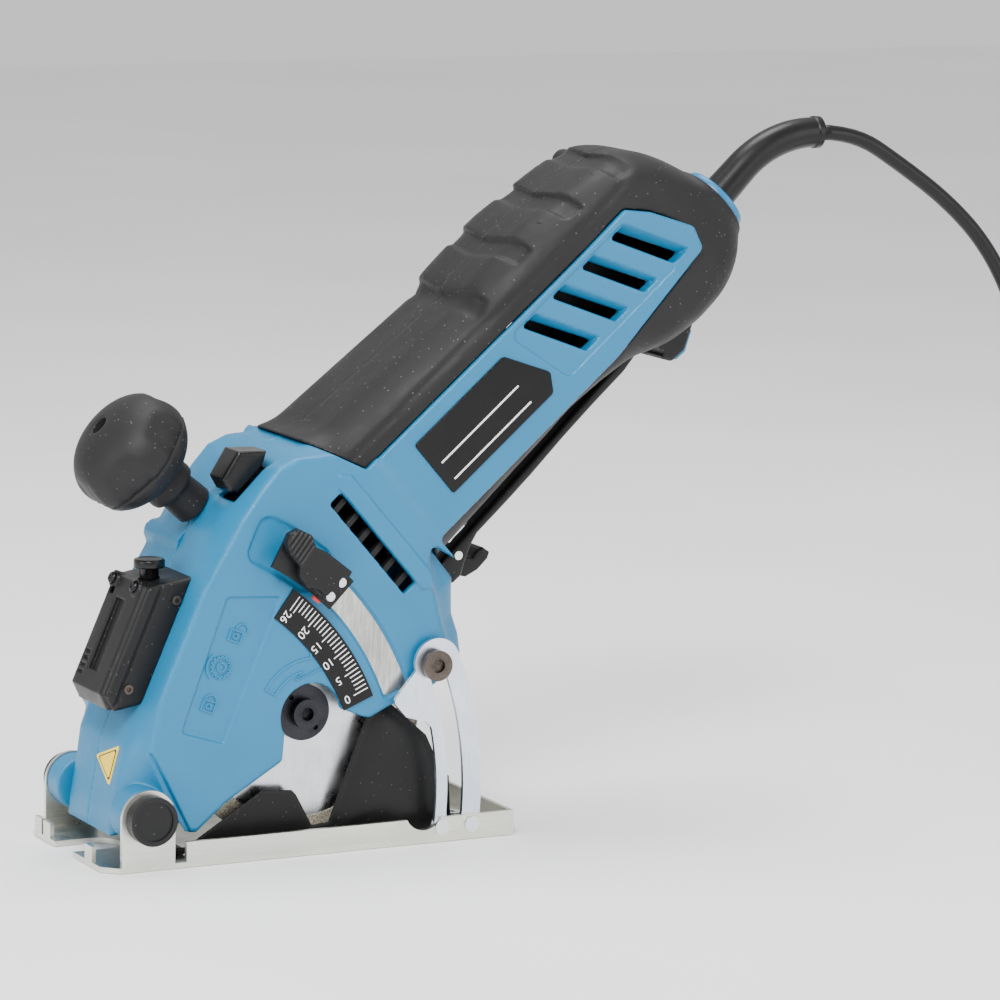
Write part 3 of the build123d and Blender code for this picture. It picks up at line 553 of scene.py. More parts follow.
# ---- camera, floor and light -------------------------------------------------------------
def set_camera():
    azimuth, elevation, roll = radians(-27.4), radians(9.5), radians(1.04)
    distance, aside, above = 1695 * MM, -78.5 * MM, -112.4 * MM
    back = Vector((sin(azimuth) * cos(elevation), -cos(azimuth) * cos(elevation), sin(elevation)))
    level = Vector((cos(azimuth), sin(azimuth), 0))
    upright = back.cross(level)
    across = level * cos(roll) + upright * sin(roll)
    up = upright * cos(roll) - level * sin(roll)
    camera = bpy.data.objects.new("camera", bpy.data.cameras.new("camera"))
    camera.data.lens, camera.data.sensor_width = 180.0, 36.0
    camera.data.clip_start, camera.data.clip_end = 0.05, 50.0
    place = back * distance - across * aside - up * above
    camera.matrix_world = Matrix.Translation(place) @ Matrix((across, up, back)).transposed().to_4x4()
    bpy.context.scene.collection.objects.link(camera)
    bpy.context.scene.camera = camera


def area_light(name, place, target, size, power, colour=(1, 1, 1)):
    light = bpy.data.lights.new(name, "AREA")
    light.shape, light.size, light.energy, light.color = "SQUARE", size, power, colour
    lamp = bpy.data.objects.new(name, light)
    lamp.location = place
    lamp.rotation_euler = (Vector(target) - Vector(place)).to_track_quat("-Z", "Y").to_euler()
    bpy.context.scene.collection.objects.link(lamp)


def studio():
    half = 3.0
    floor = bpy.data.meshes.new("floor")
    corners = [(-half, -half, 0), (half, -half, 0), (half, half, 0), (-half, half, 0)]
    floor.from_pydata(corners, [], [(0, 1, 2, 3)])
    ground = bpy.data.objects.new("floor", floor)
    ground.location.z = -0.0002
    bpy.context.scene.collection.objects.link(ground)
    s = Shade("floor_paint")
    s.colour(s.ramp(s.noise(3.0), srgb(240, 240, 240), srgb(246, 246, 246)))
    s.rough(s.fit(s.noise(6.0), 0.5, 0.6))
    floor.materials.append(s.material)
    world = bpy.data.worlds.new("studio")
    world.use_nodes = True
    world.node_tree.nodes["Background"].inputs["Color"].default_value = (1.0, 1.0, 1.0, 1)
    world.node_tree.nodes["Background"].inputs["Strength"].default_value = 0.85
    bpy.context.scene.world = world
    centre = (0.04, 0, 0.1)
    area_light("key", (-0.55, -0.9, 1.1), centre, 0.5, 26)
    area_light("fill", (0.9, -1.0, 0.5), centre, 0.8, 6)
    area_light("top", (0.15, 0.25, 1.3), centre, 0.6, 14)
    area_light("front", (-1.2, -0.2, 0.45), centre, 0.6, 6)


set_camera()
studio()


# ---- mains cord, plug and bend sleeve -------------------------------------------------------
COIL_CENTRE, COLUMNS = (359.0, -32.75), (35.85, 30.35, 24.85)
SLEEVE_START, SLEEVE_RUN, SLEEVE_R, SLEEVE_TURN = at_uv(262.6, 48.3), 16.0, 41.0, 48.0


def sleeve_path():
    """A straight run at 45 degrees, then an arc that turns down."""
    start = Vector((SLEEVE_START[0], 0, SLEEVE_START[1]))
    way = Vector((cos(pi / 4), 0, sin(pi / 4)))
    centre = start + way * SLEEVE_RUN + Vector((way.z, 0, -way.x)) * SLEEVE_R
    line = [start - way * 1.5, start + way * 0.5, start + way * 1.0, start + way * 5.5, start + way * 11.0]
    for k in range(25):
        a = radians(135 - SLEEVE_TURN * k / 24)
        line.append(centre + Vector((cos(a), 0, sin(a))) * SLEEVE_R)
    return line


def coil_points():
    """Nine turns in three layers, then half a turn on top, counter-clockwise from above."""
    radii = [*COLUMNS, *reversed(COLUMNS), *COLUMNS, 30.3]
    per_turn, points = 24, []
    for k in range(int(9.5 * per_turn)):
        turn, share = k // per_turn, (k % per_turn) / per_turn
        layer, last = turn // 3, turn == 9
        step = min(max((share - 0.86) / 0.14, 0), 1)
        rise = min(max((share - 0.70) / 0.18, 0), 1) if turn % 3 == 2 else 0
        r = radii[turn] + (radii[min(turn + 1, 9)] - radii[turn]) * step * step * (3 - 2 * step)
        if last:
            r = COLUMNS[2] + (30.3 - COLUMNS[2]) * min(share * 2, 1)
        elif turn == 8:
            r = COLUMNS[2]
        z = CORD_R + 0.05 + 2 * CORD_R * (layer + rise * rise * (3 - 2 * rise))
        a = 2 * pi * share - pi / 2
        points.append((COIL_CENTRE[0] + r * cos(a), COIL_CENTRE[1] + r * sin(a), z))
    return points


sleeve_line = sleeve_path()
exit_point = sleeve_line[-1]
exit_way = (sleeve_line[-1] - sleeve_line[-2]).normalized()
route = [tuple(exit_point), tuple(exit_point + exit_way * 15), (243.5, 0, 219.5), (262, 0, 207),
         (277.5, -0.5, 192.5), (288, -1.5, 176), (294, -4, 158), (296, -12, 132), (295, -22, 106),
         (292.5, -32, 79), (290, -41, 51), (288.5, -47.8, 28.5), (292.9, -56.6, 15.8), (304, -65, 7.8),
         (319.3, -68.2, 4.3), (334, -68.6, 2.9)]
PLUG_INLET = (359, -52.45, 27)
lead_up = [(359, -2.45, 19.3), (345.3, -2.4, 19.9), (333.7, -9.1, 21.3), (327, -20.7, 22.8),
           (327, -34.2, 24.2), (333.7, -45.8, 25.8), (345.3, -52.45, 27), PLUG_INLET]
cord_line = curve_points(route + coil_points() + lead_up, 6)
cord = tube("mains_cord_run", cord_line, CORD_R, None, cord_rubber, 20)
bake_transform(cord)
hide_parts("mains_cord", "cord_coil")


def mains_plug():
    """A round-shouldered two-pin plug with a ribbed relief."""
    inlet = Vector(PLUG_INLET)
    sections = [(-2, 3.0, 3.0), (0, 3.6, 3.6), (2, 4.3, 4.3), (3, 3.5, 3.5), (5, 3.6, 3.6), (6, 4.7, 4.7),
                (8, 4.8, 4.8), (9, 3.9, 3.9), (11, 4.0, 4.0), (12, 5.1, 5.1), (14, 5.3, 5.3), (15, 4.6, 4.6),
                (17, 5.0, 5.0), (18, 6.4, 6.4), (21, 9.5, 7.8), (26, 14.2, 9.6), (32, 16.6, 10.2),
                (38, 17.2, 10.3), (45, 17.8, 10.3), (47, 17.9, 10.3), (47.6, 17.6, 10.0), (48, 16.8, 9.4)]
    segments, points = 64, []
    for t, wide, tall in sections:
        for k in range(segments):
            a = 2 * pi * k / segments
            power = 1.0 if t < 18 else 0.62
            c, s = cos(a), sin(a)
            points.append(inlet + Vector((t, wide * abs(c) ** power * (1 if c > 0 else -1),
                                          tall * abs(s) ** power * (1 if s > 0 else -1))))
    faces = ring_faces(len(sections), segments)
    faces.append(tuple(range(segments)))
    faces.append(tuple(reversed(range((len(sections) - 1) * segments, len(sections) * segments))))
    body = add_mesh("plug_body", points, faces, "base", cord_rubber, True, ("mains_plug",))
    turn_outward(body)
    weighted_normals(body.data)
    made = [body]
    for k, side in enumerate((-9.5, 9.5)):
        profile = [(0.01, 0), (2.55, 0), (2.55, 8.5), (2.4, 8.7), (2.4, 17.6), (2.0, 18.6), (1.1, 19.0),
                   (0.01, 19.0)]
        made.append(lathe(f"plug_pin_{k}", profile, inlet + Vector((48, side, 0)), (1, 0, 0), "base",
                          bright_steel, 40))
    return made


plug_pieces = mains_plug()


def sleeve_radius(run):
    """Tapers to the end, with a shallow waist and a lip."""
    total = SLEEVE_RUN + 1.5 + SLEEVE_R * radians(SLEEVE_TURN)
    share = run / total
    lip = 0.45 if share > 0.955 else 0.0
    return 6.3 - 1.1 * share - 0.5 * sin(pi * min(share * 1.3, 1)) * 0.4 + lip


tube("bend_sleeve_skin", curve_points([tuple(p) for p in sleeve_line], 6), sleeve_radius, "saw_unit",
     cord_rubber, 40, ("bend_sleeve",))
collar_dir = (CT, 0, ST)
collar_at = (at_uv(255, 48.3)[0], 0, at_uv(255, 48.3)[1])
collar = [(11.0, -6.0), (11.9, 0), (11.9, 6.0), (11.4, 6.8), (0.01, 6.8)]
lathe("collar_black", collar, collar_at, collar_dir, "saw_unit", charcoal_rubber, 72)
ring = [(6.4, 6.9), (11.9, 6.9), (12.4, 7.5), (12.4, 9.2), (11.9, 9.9), (7.2, 10.3), (6.4, 10.3)]
lathe("collar_ring", ring, collar_at, collar_dir, "saw_unit", blue_ring, 72, stands_for=("cord_collar",))


# ---- housing outlines ------------------------------------------------------------------------
LOWER_EDGE = [(44.9, 51.4), (31, 47), (23.2, 43.3), (11.9, 38.8), (-9, 31), (-29.6, 18.6), (-39.8, 9.8)]
HEAD_TOP = [(-65.8, 16), (-64.2, 24.5), (-61.8, 38.5), (-38.5, 92), (-34, 101), (-27, 115), (-13, 128.5),
            (-2, 134.2), (6, 136), at_uv(101, 103), at_uv(101, 28), (58, 75), (60.5, 68), (61.5, 61)]
FACE_TOP = [(-43.5, 10), (-57.1, 36.9), (-53.8, 55.3), (-38.6, 90.4), (-24.9, 113.7), (-17.9, 123.3),
            (-12, 130), (-5, 133), (8, 133.5), at_uv(104, 96), at_uv(104, 34), (44.2, 101.3), (45.9, 87.3),
            (48.5, 76.7), (51, 68.6), (55, 58)]
HEAD = [(-66.5, 8.8)] + HEAD_TOP + LOWER_EDGE + [(-47, 10.2), (-52, 9)]
FACE = FACE_TOP + LOWER_EDGE
HEAD_OPEN = [(-66, -12)] + HEAD_TOP + [(60, 40), (20, 20), (-40, -12)]
FACE_OPEN = [(-32, -12)] + FACE_TOP + [(60, 40), (20, 18)]
BOLT_NOTCH = [(-8.6, 40), (-9.3, 30.2), (-9, 18), (24.5, 18), (23.6, 43.2), (20.2, 44.1), (11.9, 47.5)]
TOE_ROOM = [(-50, 0), (-50.5, 9.5), (-38, 16), (-34, 14), (-38, 0)]
# From here to GRIP_BOSSES the points are in the handle frame, apart from STRIP and LOCK_SHAPE.
PANEL = [(92, 48), (192, 48.5), (238, 54.3), (239.4, 60), (231, 73.8), (225, 80.3), (204, 79.9), (92, 80)]
VENT_ZONE = [(164, 50), (228, 52), (234, 57), (225, 80.5), (172, 80.5)]
DISH = [(176, 56.5), (226, 57), (230, 60), (221, 77.5), (170, 77.5)]
VENT_U = [172.6 + 14.5 * k for k in range(4)]
STRIP = [(-29, 87), (-12, 86), (-31.4, 40.5), (-44.4, 44.6)]
EXHAUST = [(82.6, 42), (87.4, 42), (87.4, 83), (82.6, 83)]
LOCK_SHAPE = [(-21.4, 120.8), (-12.8, 128.9), (-11.2, 134.2), (-21.6, 134.6), (-27.2, 125.6),
              (-24.6, 121.2)]
SHELL_BOSSES = [(-30.5, 101), (-53.0, 47.0), at_uv(91, 95.5)]
GRIP_BOSSES = [(184, 90), (182, 44), (238, 87), (231, 37)]


def vent_distance(u, v, u0, wide):
    """A slanted slot with rounded ends in the handle frame."""
    far = u0 + 21.5 * VENT_LEAN
    slot = [(u0 + 0.8, 78.2), (u0 + wide - 0.8, 78.2), (far + wide, 56.8), (far + 0.8, 56.8)]
    return outline(slot, u, v) - 0.8


def housing(side):
    """Half of the blue shell: the head and its strip along the handle. side is -1 near, 1 far."""
    face = -FACE_Y if side < 0 else FAR_Y
    near = side < 0
    step = 0.55
    grid = Grid((-70, -1, 5), (160, 36, 216), step)
    x, y, z = grid.a, grid.b, grid.c          # y is the distance from the middle, whichever side
    u, v = x * CT + z * ST, z * CT - x * ST
    head, flat = outline(HEAD, x, z), outline(FACE, x, z)
    blend = np.clip((face - y) / CHAMFER, 0, 1)
    blend = blend * blend * (3 - 2 * blend)
    body = flat * (1 - blend) + head * blend
    body = cut(body, face - y, 2.6)
    if near:
        body = join(body, slab(disc(PIVOT, PIVOT_R, x, z), y, 24, 34.2, 0.6), 1.5)
    else:
        body = join(body, slab(disc(PIVOT, PIVOT_R, x, z), y, 20, 29.2, 0.6), 1.5)
        for spot in SHELL_BOSSES:
            body = join(body, slab(disc(spot, 4.4, x, z), y, 0, 28.0, 0.5), 1.0)
    body = cut(body, body + WALL)
    panel = slab(outline(PANEL, u, v) - 2.5, y, PANEL_EDGE, PANEL_Y, 0.9)
    body = join(body, panel, 2.0)
    body = join(body, slab(outline(VENT_ZONE, u, v) - 0.5, y, 24.4, 29.8, 0.4))
    body = cut(body, slab(outline(DISH, u, v) - 2.5, y, 29.8, 33), 0.9)
    depth = PANEL_Y - y
    for u0 in VENT_U:
        across = (u - u0 - (79 - v) * VENT_LEAN) * 0.875
        ramp = np.maximum(vent_distance(u, v, u0, 7.2), depth - (6.4 - across) * 1.25)
        body = cut(body, ramp)
        body = cut(body, slab(vent_distance(u, v, u0, 3.6), y, 20, 34))
    grip_start = np.maximum((100.9 - (v - 79) * 0.44 - u), 83.0 - v)
    body = cut(body, grip_start)
    body = cut(body, slab(outline(EXHAUST, u, v) - 0.8, y, face - WALL - 3, face + 2))
    swing = outline([(97.6, 16), (130, 16), (130, 37.8), (97.6, 37.8)], u, v)
    body = cut(body, slab(swing, y, -2, 13.7))
    hood = [(87.6, 38), (91.5, 36), (93.5, 40), (93.5, 86), (90.5, 89), (87.6, 86)]
    body = join(body, slab(outline(hood, u, v) - 0.2, y, face - 2, face + 1.3, 1.1), 1.2)
    if near:
        room = outline(FACE_OPEN, x, z) * (1 - blend) + outline(HEAD_OPEN, x, z) * blend + WALL
        body = cut(body, slab(room, y, 15.4, 28.5))
        body = cut(body, slab(outline(TOE_ROOM, x, z), y, 17.6, 26.9))
        body = cut(body, slab(disc(SPINDLE, 11.0, x, z), y, 27.0, 36), 0.6)
        body = cut(body, slab(outline(BOLT_NOTCH, x, z), y, 27.0, 36), 0.6)
        body = cut(body, slab(arc_band(93.9, 102.6, 20.4, 54.6, x, z, ends=1.2), y, 24, 36))
        body = cut(body, slab(arc_band(92.9, 103.4, 20.0, 55.2, x, z, ends=1.5), y, 30.2, 36), 0.5)
        body = cut(body, slab(arc_band(90.5, 106.5, 50.0, 66.5, x, z, ends=4.0), y, 29.95, 36), 1.1)
        body = cut(body, slab(outline(STRIP, x, z) - 1.0, y, 29.9, 36), 1.0)
        groove = [(-57.4, 37.6), (-56.0, 37.6), (-41.5, 9), (-43.4, 9)]
        body = cut(body, slab(outline(groove, x, z), y, 29.2, 36), 0.6)
        guide = (44.5, 60.9)
        body = join(body, slab(disc(guide, 6.4, x, z), y, 28.3, 31.0, 0.5))
        body = cut(body, slab(disc(guide, 2.6, x, z), y, 20, 36))
        for press in (0.0, 1.2, 2.4, 3.6):
            pocket = outline(LOCK_SHAPE, x - press * 0.484, z + press * 0.875) - 0.45
            body = cut(body, slab(pocket, y, 7.9, 21.1), 0.3)
    else:
        for spot in SHELL_BOSSES:
            body = cut(body, slab(disc(spot, 3.15, x, z), y, 26.0, 36))
    seat = (-28.0, 113.5)
    lean = radians(-50)
    reach = (x - seat[0]) * cos(lean) - (z - seat[1]) * sin(lean)
    bore = np.sqrt(reach ** 2 + y ** 2) - 7.4
    along = (x - seat[0]) * sin(lean) + (z - seat[1]) * cos(lean)
    body = cut(body, np.maximum(bore, 0.2 - along), 0.4)
    body = cut(body, np.sqrt((x - PIVOT[0]) ** 2 + (z - PIVOT[1]) ** 2) - 3.1 + 0 * y)
    body = np.maximum(body, 0.08 - y)
    name, stands = ("housing_near", "head_shell_left") if near else ("housing_far", "head_shell_right")
    return surface(name, body, grid, "saw_unit", blue_shell, lambda p: p * np.array([1, side, 1]), 0.05,
                   (stands, "side_panels"))


GRIP_U = [88, 98, 163, 166.5, 170, 185, 199, 207, 213, 226, 236, 242, 248, 254, 262]
GRIP_LOW = [36.5, 36.5, 39.5, 39.8, 40.2, 39, 37, 33, 30.5, 28.5, 28.5, 29, 30, 31.5, 35]
GRIP_HIGH = [103.5, 99, 95.4, 97.2, 98.8, 99.8, 100.2, 99.4, 98.6, 97.6, 95.8, 93.0, 87.6, 78.5, 61.5]
GRIP_HALF = [29.2, 29.4, 29.6, 29.7, 29.8, 29.8, 29.8, 29.6, 29.4, 29, 28.2, 27, 24.5, 21, 14.5]


def eased(u, values, spread=2.2):
    """Station values along u, smoothed so that the stations don't show as creases."""
    fine = np.arange(80, 275, 0.5)
    line = np.interp(fine, GRIP_U, values)
    kernel = np.exp(-0.5 * (np.arange(-12, 13) * 0.5 / spread) ** 2)
    smooth = np.convolve(np.pad(line, 12, "edge"), kernel / kernel.sum(), "valid")
    return np.interp(u, fine, smooth).astype(np.float32)


def grip_waves(u, y, v):
    """How far the stepped finger waves on top go in."""
    phase = np.mod((u - 166.5 - 0.13 * np.abs(y)) / 23.5, 1.0)
    fall = np.interp(phase, [0, 0.03, 0.62, 0.70, 0.96, 1.0], [0.0, 0.0, 0.35, 1.55, 1.7, 0.1])
    fall = fall.astype(np.float32)
    here = np.clip((u - 160) / 5, 0, 1) * np.clip((240 - u) / 4, 0, 1)
    top = np.clip((v - 86) / 5, 0, 1) * np.clip((27 - np.abs(y)) / 4, 0, 1)
    return fall * here * top * top * (3 - 2 * top)


def grip(side):
    """Half of the dark over-moulded handle."""
    grid = Grid((86, -1, 17), (264, 33, 106), 0.55)
    u, y, v = grid.a, grid.b, grid.c
    low, high, half = eased(u, GRIP_LOW), eased(u, GRIP_HIGH), eased(u, GRIP_HALF)
    corner = np.minimum(15.0, half - 1)
    a = np.abs(y) - half + corner
    b = np.abs(v - (low + high) / 2) - (high - low) / 2 + corner
    body = np.sqrt(np.maximum(a, 0) ** 2 + np.maximum(b, 0) ** 2) + np.minimum(np.maximum(a, b), 0) - corner
    body = body + grip_waves(u, y, v)
    crease = 0.45 * np.exp(-((v - 88.5) / 1.0) ** 2)
    body = body + crease * np.clip((y - 20) / 3, 0, 1) * np.clip((236 - u) / 6, 0, 1)
    hump = [(212.5, 38), (211.5, 25), (213, 22.8), (218, 22.6), (223, 25.5), (236, 33), (236, 40)]
    body = join(body, slab(outline(hump, u, v) - 1.5, y, -14, 12.5, 2.0), 2.5)
    ends = np.maximum(u - 262, 100.9 - (np.maximum(v, 79) - 79) * 0.44 - u)
    body = both(body, ends, 1.0)
    body = cut(body, body + 2.4)
    body = np.maximum(body, ends)
    body = cut(body, slab(outline(PANEL, u, v) - 2.9, y, 27.2, 40))
    body = cut(body, slab(outline(VENT_ZONE, u, v) - 0.9, y, 23.9, 40))
    paddle_slot = outline([(196.5, 26), (211.4, 26), (211.4, 40), (196.5, 40)], u, v)
    body = cut(body, slab(paddle_slot, y, -14, 13.4))
    if side > 0:
        for spot in GRIP_BOSSES:
            body = join(body, slab(disc(spot, 4.2, u, v), y, 20, 28.3, 0.5), 1.0)
            body = cut(body, slab(disc(spot, 3.15, u, v), y, 26.3, 40))
    body = np.maximum(body, 0.1 - y)
    name, stands = ("grip_near", "handle_shell_left") if side < 0 else ("grip_far", "handle_shell_right")

    def place(points):
        row = handle_to_row(points)
        row[:, 1] *= side
        return row

    return surface(name, body, grid, "saw_unit", charcoal_rubber, place, 0.04, (stands,))


def blue_foot():
    """The blue end of the hump behind the paddle."""
    grid = Grid((208, -14.5, 17), (240, 14.5, 28), 0.4)
    u, y, v = grid.a, grid.b, grid.c
    foot = [(213.6, 26), (213.0, 23), (214.5, 21.4), (218, 21.2), (222, 23.6), (226, 26)]
    body = slab(outline(foot, u, v) - 1.0, y, -11.6, 11.6, 1.2)
    surface("handle_foot", np.maximum(body, v - 24.6), grid, "saw_unit", blue_shell, handle_to_row, 0.02)


# ---- knob, laser, guard and levers ----------------------------------------------------------------
def front_knob():
    lean = radians(-50)
    way = Vector((sin(lean), 0, cos(lean)))
    seat = Vector((-28.0, 0, 113.5))
    profile = [(0.01, 0.4), (6.6, 0.4), (7.0, 0.8), (7.0, 4.0), (6.8, 9.0), (7.4, 10.5), (8.6, 11.0),
               (8.9, 12.0), (8.9, 15.2), (8.3, 16.0), (9.0, 16.4)]
    for k in range(0, 26):
        a = radians(-64 + 6.1 * k)
        r, t = 21.0 * cos(a) ** 0.86 if a < 0 else 21.0 * cos(a) ** 0.80, 30.5 + 15.2 * sin(a)
        if k == 8:
            profile += [(r, t - 0.45), (r - 0.55, t - 0.2), (r - 0.55, t + 0.15), (r, t + 0.4)]
        elif r > 5.2:
            profile.append((r, t))
    profile += [(4.6, 45.6), (3.4, 45.5), (3.1, 45.0), (3.0, 39.0), (0.01, 39.0)]

    def dent(angle, t):
        turn = (angle / (2 * pi) * 6) % 1 - 0.5
        return 1.25 * np.exp(-(turn / 0.27) ** 6 - ((t - 31.0) / 6.8) ** 6)

    lathe("front_knob_skin", profile, seat, way, "saw_unit", charcoal_rubber, 144, dent, ("front_knob",))


def laser_case():
    """The battery laser: a box, a bevelled lid with a channel, its seam and a square window."""
    grid = Grid((-74, -23, 45), (-33, 13, 97), 0.36)
    x, y, z = grid.a, grid.b, grid.c
    top, bottom = (-54.0, 91.5), (-69.2, 56.0)
    length = ((bottom[0] - top[0]) ** 2 + (bottom[1] - top[1]) ** 2) ** 0.5
    way = ((bottom[0] - top[0]) / length, (bottom[1] - top[1]) / length)
    out = (way[1], -way[0])
    q = (x - top[0]) * way[0] + (z - top[1]) * way[1]
    p = (x - top[0]) * out[0] + (z - top[1]) * out[1]
    box = [(-37.6, 93.0), (-54.4, 52.8), (-64.5, 51.0), (-67.6, 56), (-52.6, 90.6)]
    case = slab(outline(box, x, z) - 0.6, y, -20, 10, 1.8)
    lid = [(-50.2, 91.6), (-53.8, 91.2), (-68.9, 56.2), (-66.4, 50.8), (-62.2, 51.4), (-65.0, 55.8)]
    case = join(case, slab(outline(lid, x, z) - 0.3, y, -18.6, 8.6, 2.2))
    case = cut(case, slab(np.abs(p + 5.2) - 0.35 + 0 * q, y, -40, -19.3), 0.3)
    case = cut(case, slab(np.abs(p + 5.2) - 0.35 + 0 * q, y, 9.3, 40), 0.3)
    case = cut(case, np.maximum(np.maximum(-1.5 - p, np.abs(y + 4.2) - 3.6), np.abs(q - 19.5) - 12.5), 0.7)
    case = cut(case, np.maximum(np.maximum(-2.5 - p, np.abs(y - 4.4) - 1.7), np.abs(q - 4.6) - 1.8))
    for k in range(4):
        rib = np.maximum(np.maximum(-0.7 - p, np.abs(y - 4.0) - 2.2), np.abs(q - 27 - 2.4 * k) - 0.5)
        case = cut(case, rib)
    for spot in (-13.2, 4.8):
        boss = np.sqrt((y - spot) ** 2 + (q - 1.5) ** 2) - 2.9
        case = join(case, np.maximum(boss, np.abs(p + 2.2) - 3.1), 0.8)
    case = cut(case, np.sqrt((x + 48) ** 2 + (y + 8) ** 2) - 3.5 + 0 * z)
    surface("laser_case_skin", case, grid, "saw_unit", black_body, None, 0.03, ("laser_case",))
    for k, spot in enumerate((-13.2, 4.8)):
        head = Vector((top[0] + way[0] * 1.5 + out[0] * 0.6, spot, top[1] + way[1] * 1.5 + out[1] * 0.6))
        lathe(f"laser_lid_screw_{k}", [(0.01, 0), (2.1, 0), (2.1, 0.9), (1.6, 1.5), (0.8, 1.6), (0.7, 0.9),
                                       (0.01, 0.8)], head, (out[0], 0, out[1]), "saw_unit", black_oxide, 36)
    lathe("laser_button_skin", [(0.01, 88), (3.2, 88), (3.2, 95.6), (5.0, 95.8), (5.2, 96.2), (5.2, 98.0),
                                (4.9, 98.5), (4.2, 98.7), (3.6, 98.4), (0.01, 98.2)], (-48, -8, 0), (0, 0, 1),
          "laser_switch", black_satin, 60, stands_for=("laser_button",))


def blade_guard():
    """The near wall with its domed rear cheek, the rear wall and the two feet."""
    grid = Grid((-56, -30, 0.6), (65, -14, 52), 0.4)
    x, y, z = grid.a, grid.b, grid.c
    wall = [(-46, 1.9), (-36, 8.3), (-14.3, 21.6), (-3.3, 20.6), (-1.5, 18.7), (4.2, 8), (9.7, 8.5),
            (22.2, 40.6), (24.7, 47.3), (31.4, 48.5), (46.6, 35.2), (52.5, 22.8), (55.3, 7.1), (55.3, 1.9)]
    cheek = [(12.5, 9), (24.5, 40), (27, 45.5), (31, 45.8), (44.2, 33.6), (49.6, 22), (52.2, 7), (52, 3),
             (13, 3)]
    flat = outline(wall, x, z)
    bulge = np.clip(1 + outline(cheek, x, z) / 9, 0, 1)
    front = -27.8 + 1.5 * bulge * bulge
    body = both(flat, np.maximum(y + 25.2, front - y), 1.6)
    rear = [(53, 2), (55.3, 2), (55.3, 7.1), (54.5, 20.6), (52.8, 20.6), (53, 7)]
    body = join(body, slab(outline(rear, x, z), y, -27.4, -16.4, 0.5), 0.8)
    for x0, x1, y0, y1 in ((55.3, 62.8, -24.4, -16.6), (-53.8, -42.6, -26.4, -18.1)):
        foot = outline([(x0, 1.9), (x1, 1.9), (x1, 4.1), (x0, 4.1)], x, z)
        body = join(body, slab(foot, y, y0, y1, 0.4), 0.6)
    for fx, fy in ((59.0, -20.5), (-50.0, -22.0)):
        body = cut(body, np.sqrt((x - fx) ** 2 + (y - fy) ** 2) - 1.7 + 0 * z)
    surface("blade_guard_skin", body, grid, "base", guard_plastic, None, 0.03, ("blade_guard",))


def depth_lever():
    """The ribbed thumb lever with its waist and the square end over the pins."""
    grid = Grid((-17, -43, 83), (14, -35.6, 114), 0.26)
    x, y, z = grid.a, grid.b, grid.c
    shape = [(-13.2, 106.6), (-12.4, 109.6), (-9.2, 111.2), (-4.0, 108.6), (-2.6, 104.6), (1.6, 102.6),
             (10.6, 95.6), (5.4, 87.2), (0.4, 88.9), (-1.4, 90.6), (-5.6, 91.6), (-8.2, 95.4), (-8.0, 98.6),
             (-12.2, 103.4)]
    flat = outline(shape, x, z) - 0.2
    along = (x + 13) * 0.79 - (z - 109) * 0.61
    rib = 0.45 * np.clip(np.cos(along * 2 * pi / 1.7), -0.3, 1) * np.clip((11 - along) / 1.5, 0, 1)
    high = -41.0 - 0.9 * np.clip(1 - along / 9, 0, 1) - rib
    body = both(flat, np.maximum(y + 37.8, high - y), 1.0)
    for spot in (polar(94.6, 47.6), polar(100.6, 47.6)):
        body = cut(body, disc(spot, 2.3, x, z) + 0 * y, 0.3)
    barrel = np.sqrt((y + 38.4) ** 2 + ((x + 3.2) * 0.6 + (z - 91.6) * 0.8) ** 2) - 1.2
    body = join(body, np.maximum(barrel, np.abs((x - 1.0) * 0.8 - (z - 94.8) * 0.6) - 5), 0.3)
    surface("depth_lever_skin", body, grid, "depth_thumb", black_body, None, 0.02, ("depth_lever",))


def paddle_and_catch():
    """The switch paddle under the handle and the hooked lock-off catch."""
    shape = [(98.3, 24.6), (100.9, 23.4), (101.8, 21.8), (105.8, 21.7), (110, 24.4), (115.4, 27.2),
             (119.6, 28.6), (135, 29.0), (148, 29.6), (165, 30.9), (180, 31.6), (196, 32.0), (207.4, 34.0),
             (208.2, 36),
             (207.6, 38.1), (203.6, 38.4), (198, 36.3), (160, 34.1), (108, 31.3), (101.2, 31.1),
             (98.4, 27.5)]
    grid = Grid((95, -15.5, 16), (211, 15.5, 41), 0.42)
    u, y, v = grid.a, grid.b, grid.c
    flat = outline(shape, u, v)
    body = both(flat, np.abs(y) - 12.9, 2.2)
    body = cut(body, slab(outline([(94, 16), (120.5, 16), (120.5, 36), (94, 36)], u, v), y, -7, 7))
    body = join(body, slab(disc((206, 36.6), 2.25, u, v), y, -15, 15, 0.3))
    body = cut(body, disc((109.3, 28.2), 1.55, u, v) + 0 * y)
    surface("paddle_skin", body, grid, "paddle", black_body, handle_to_row, 0.03, ("paddle_lever",))
    small = Grid((103, -7.4, 13.5), (123, 7.4, 33), 0.3)
    u, y, v = small.a, small.b, small.c
    hook = [(106.9, 28.5), (106.6, 19.4), (108.2, 17.2), (113.1, 15.9), (118.4, 16.2), (120.4, 17.4),
            (119.6, 20.6), (117.6, 21.2), (114.2, 20.6), (111.9, 23.8), (111.6, 28.5)]
    catch = both(outline(hook, u, v), np.abs(y) - 6.5, 1.4)
    catch = join(catch, slab(disc((109.3, 28.2), 3.1, u, v), y, -6.5, 6.5, 0.5), 0.8)
    catch = cut(catch, disc((109.3, 28.2), 1.55, u, v) + 0 * y)
    surface("lock_off_catch_skin", catch, small, "lock_off", black_body, handle_to_row, 0.03,
            ("lock_off_catch",))


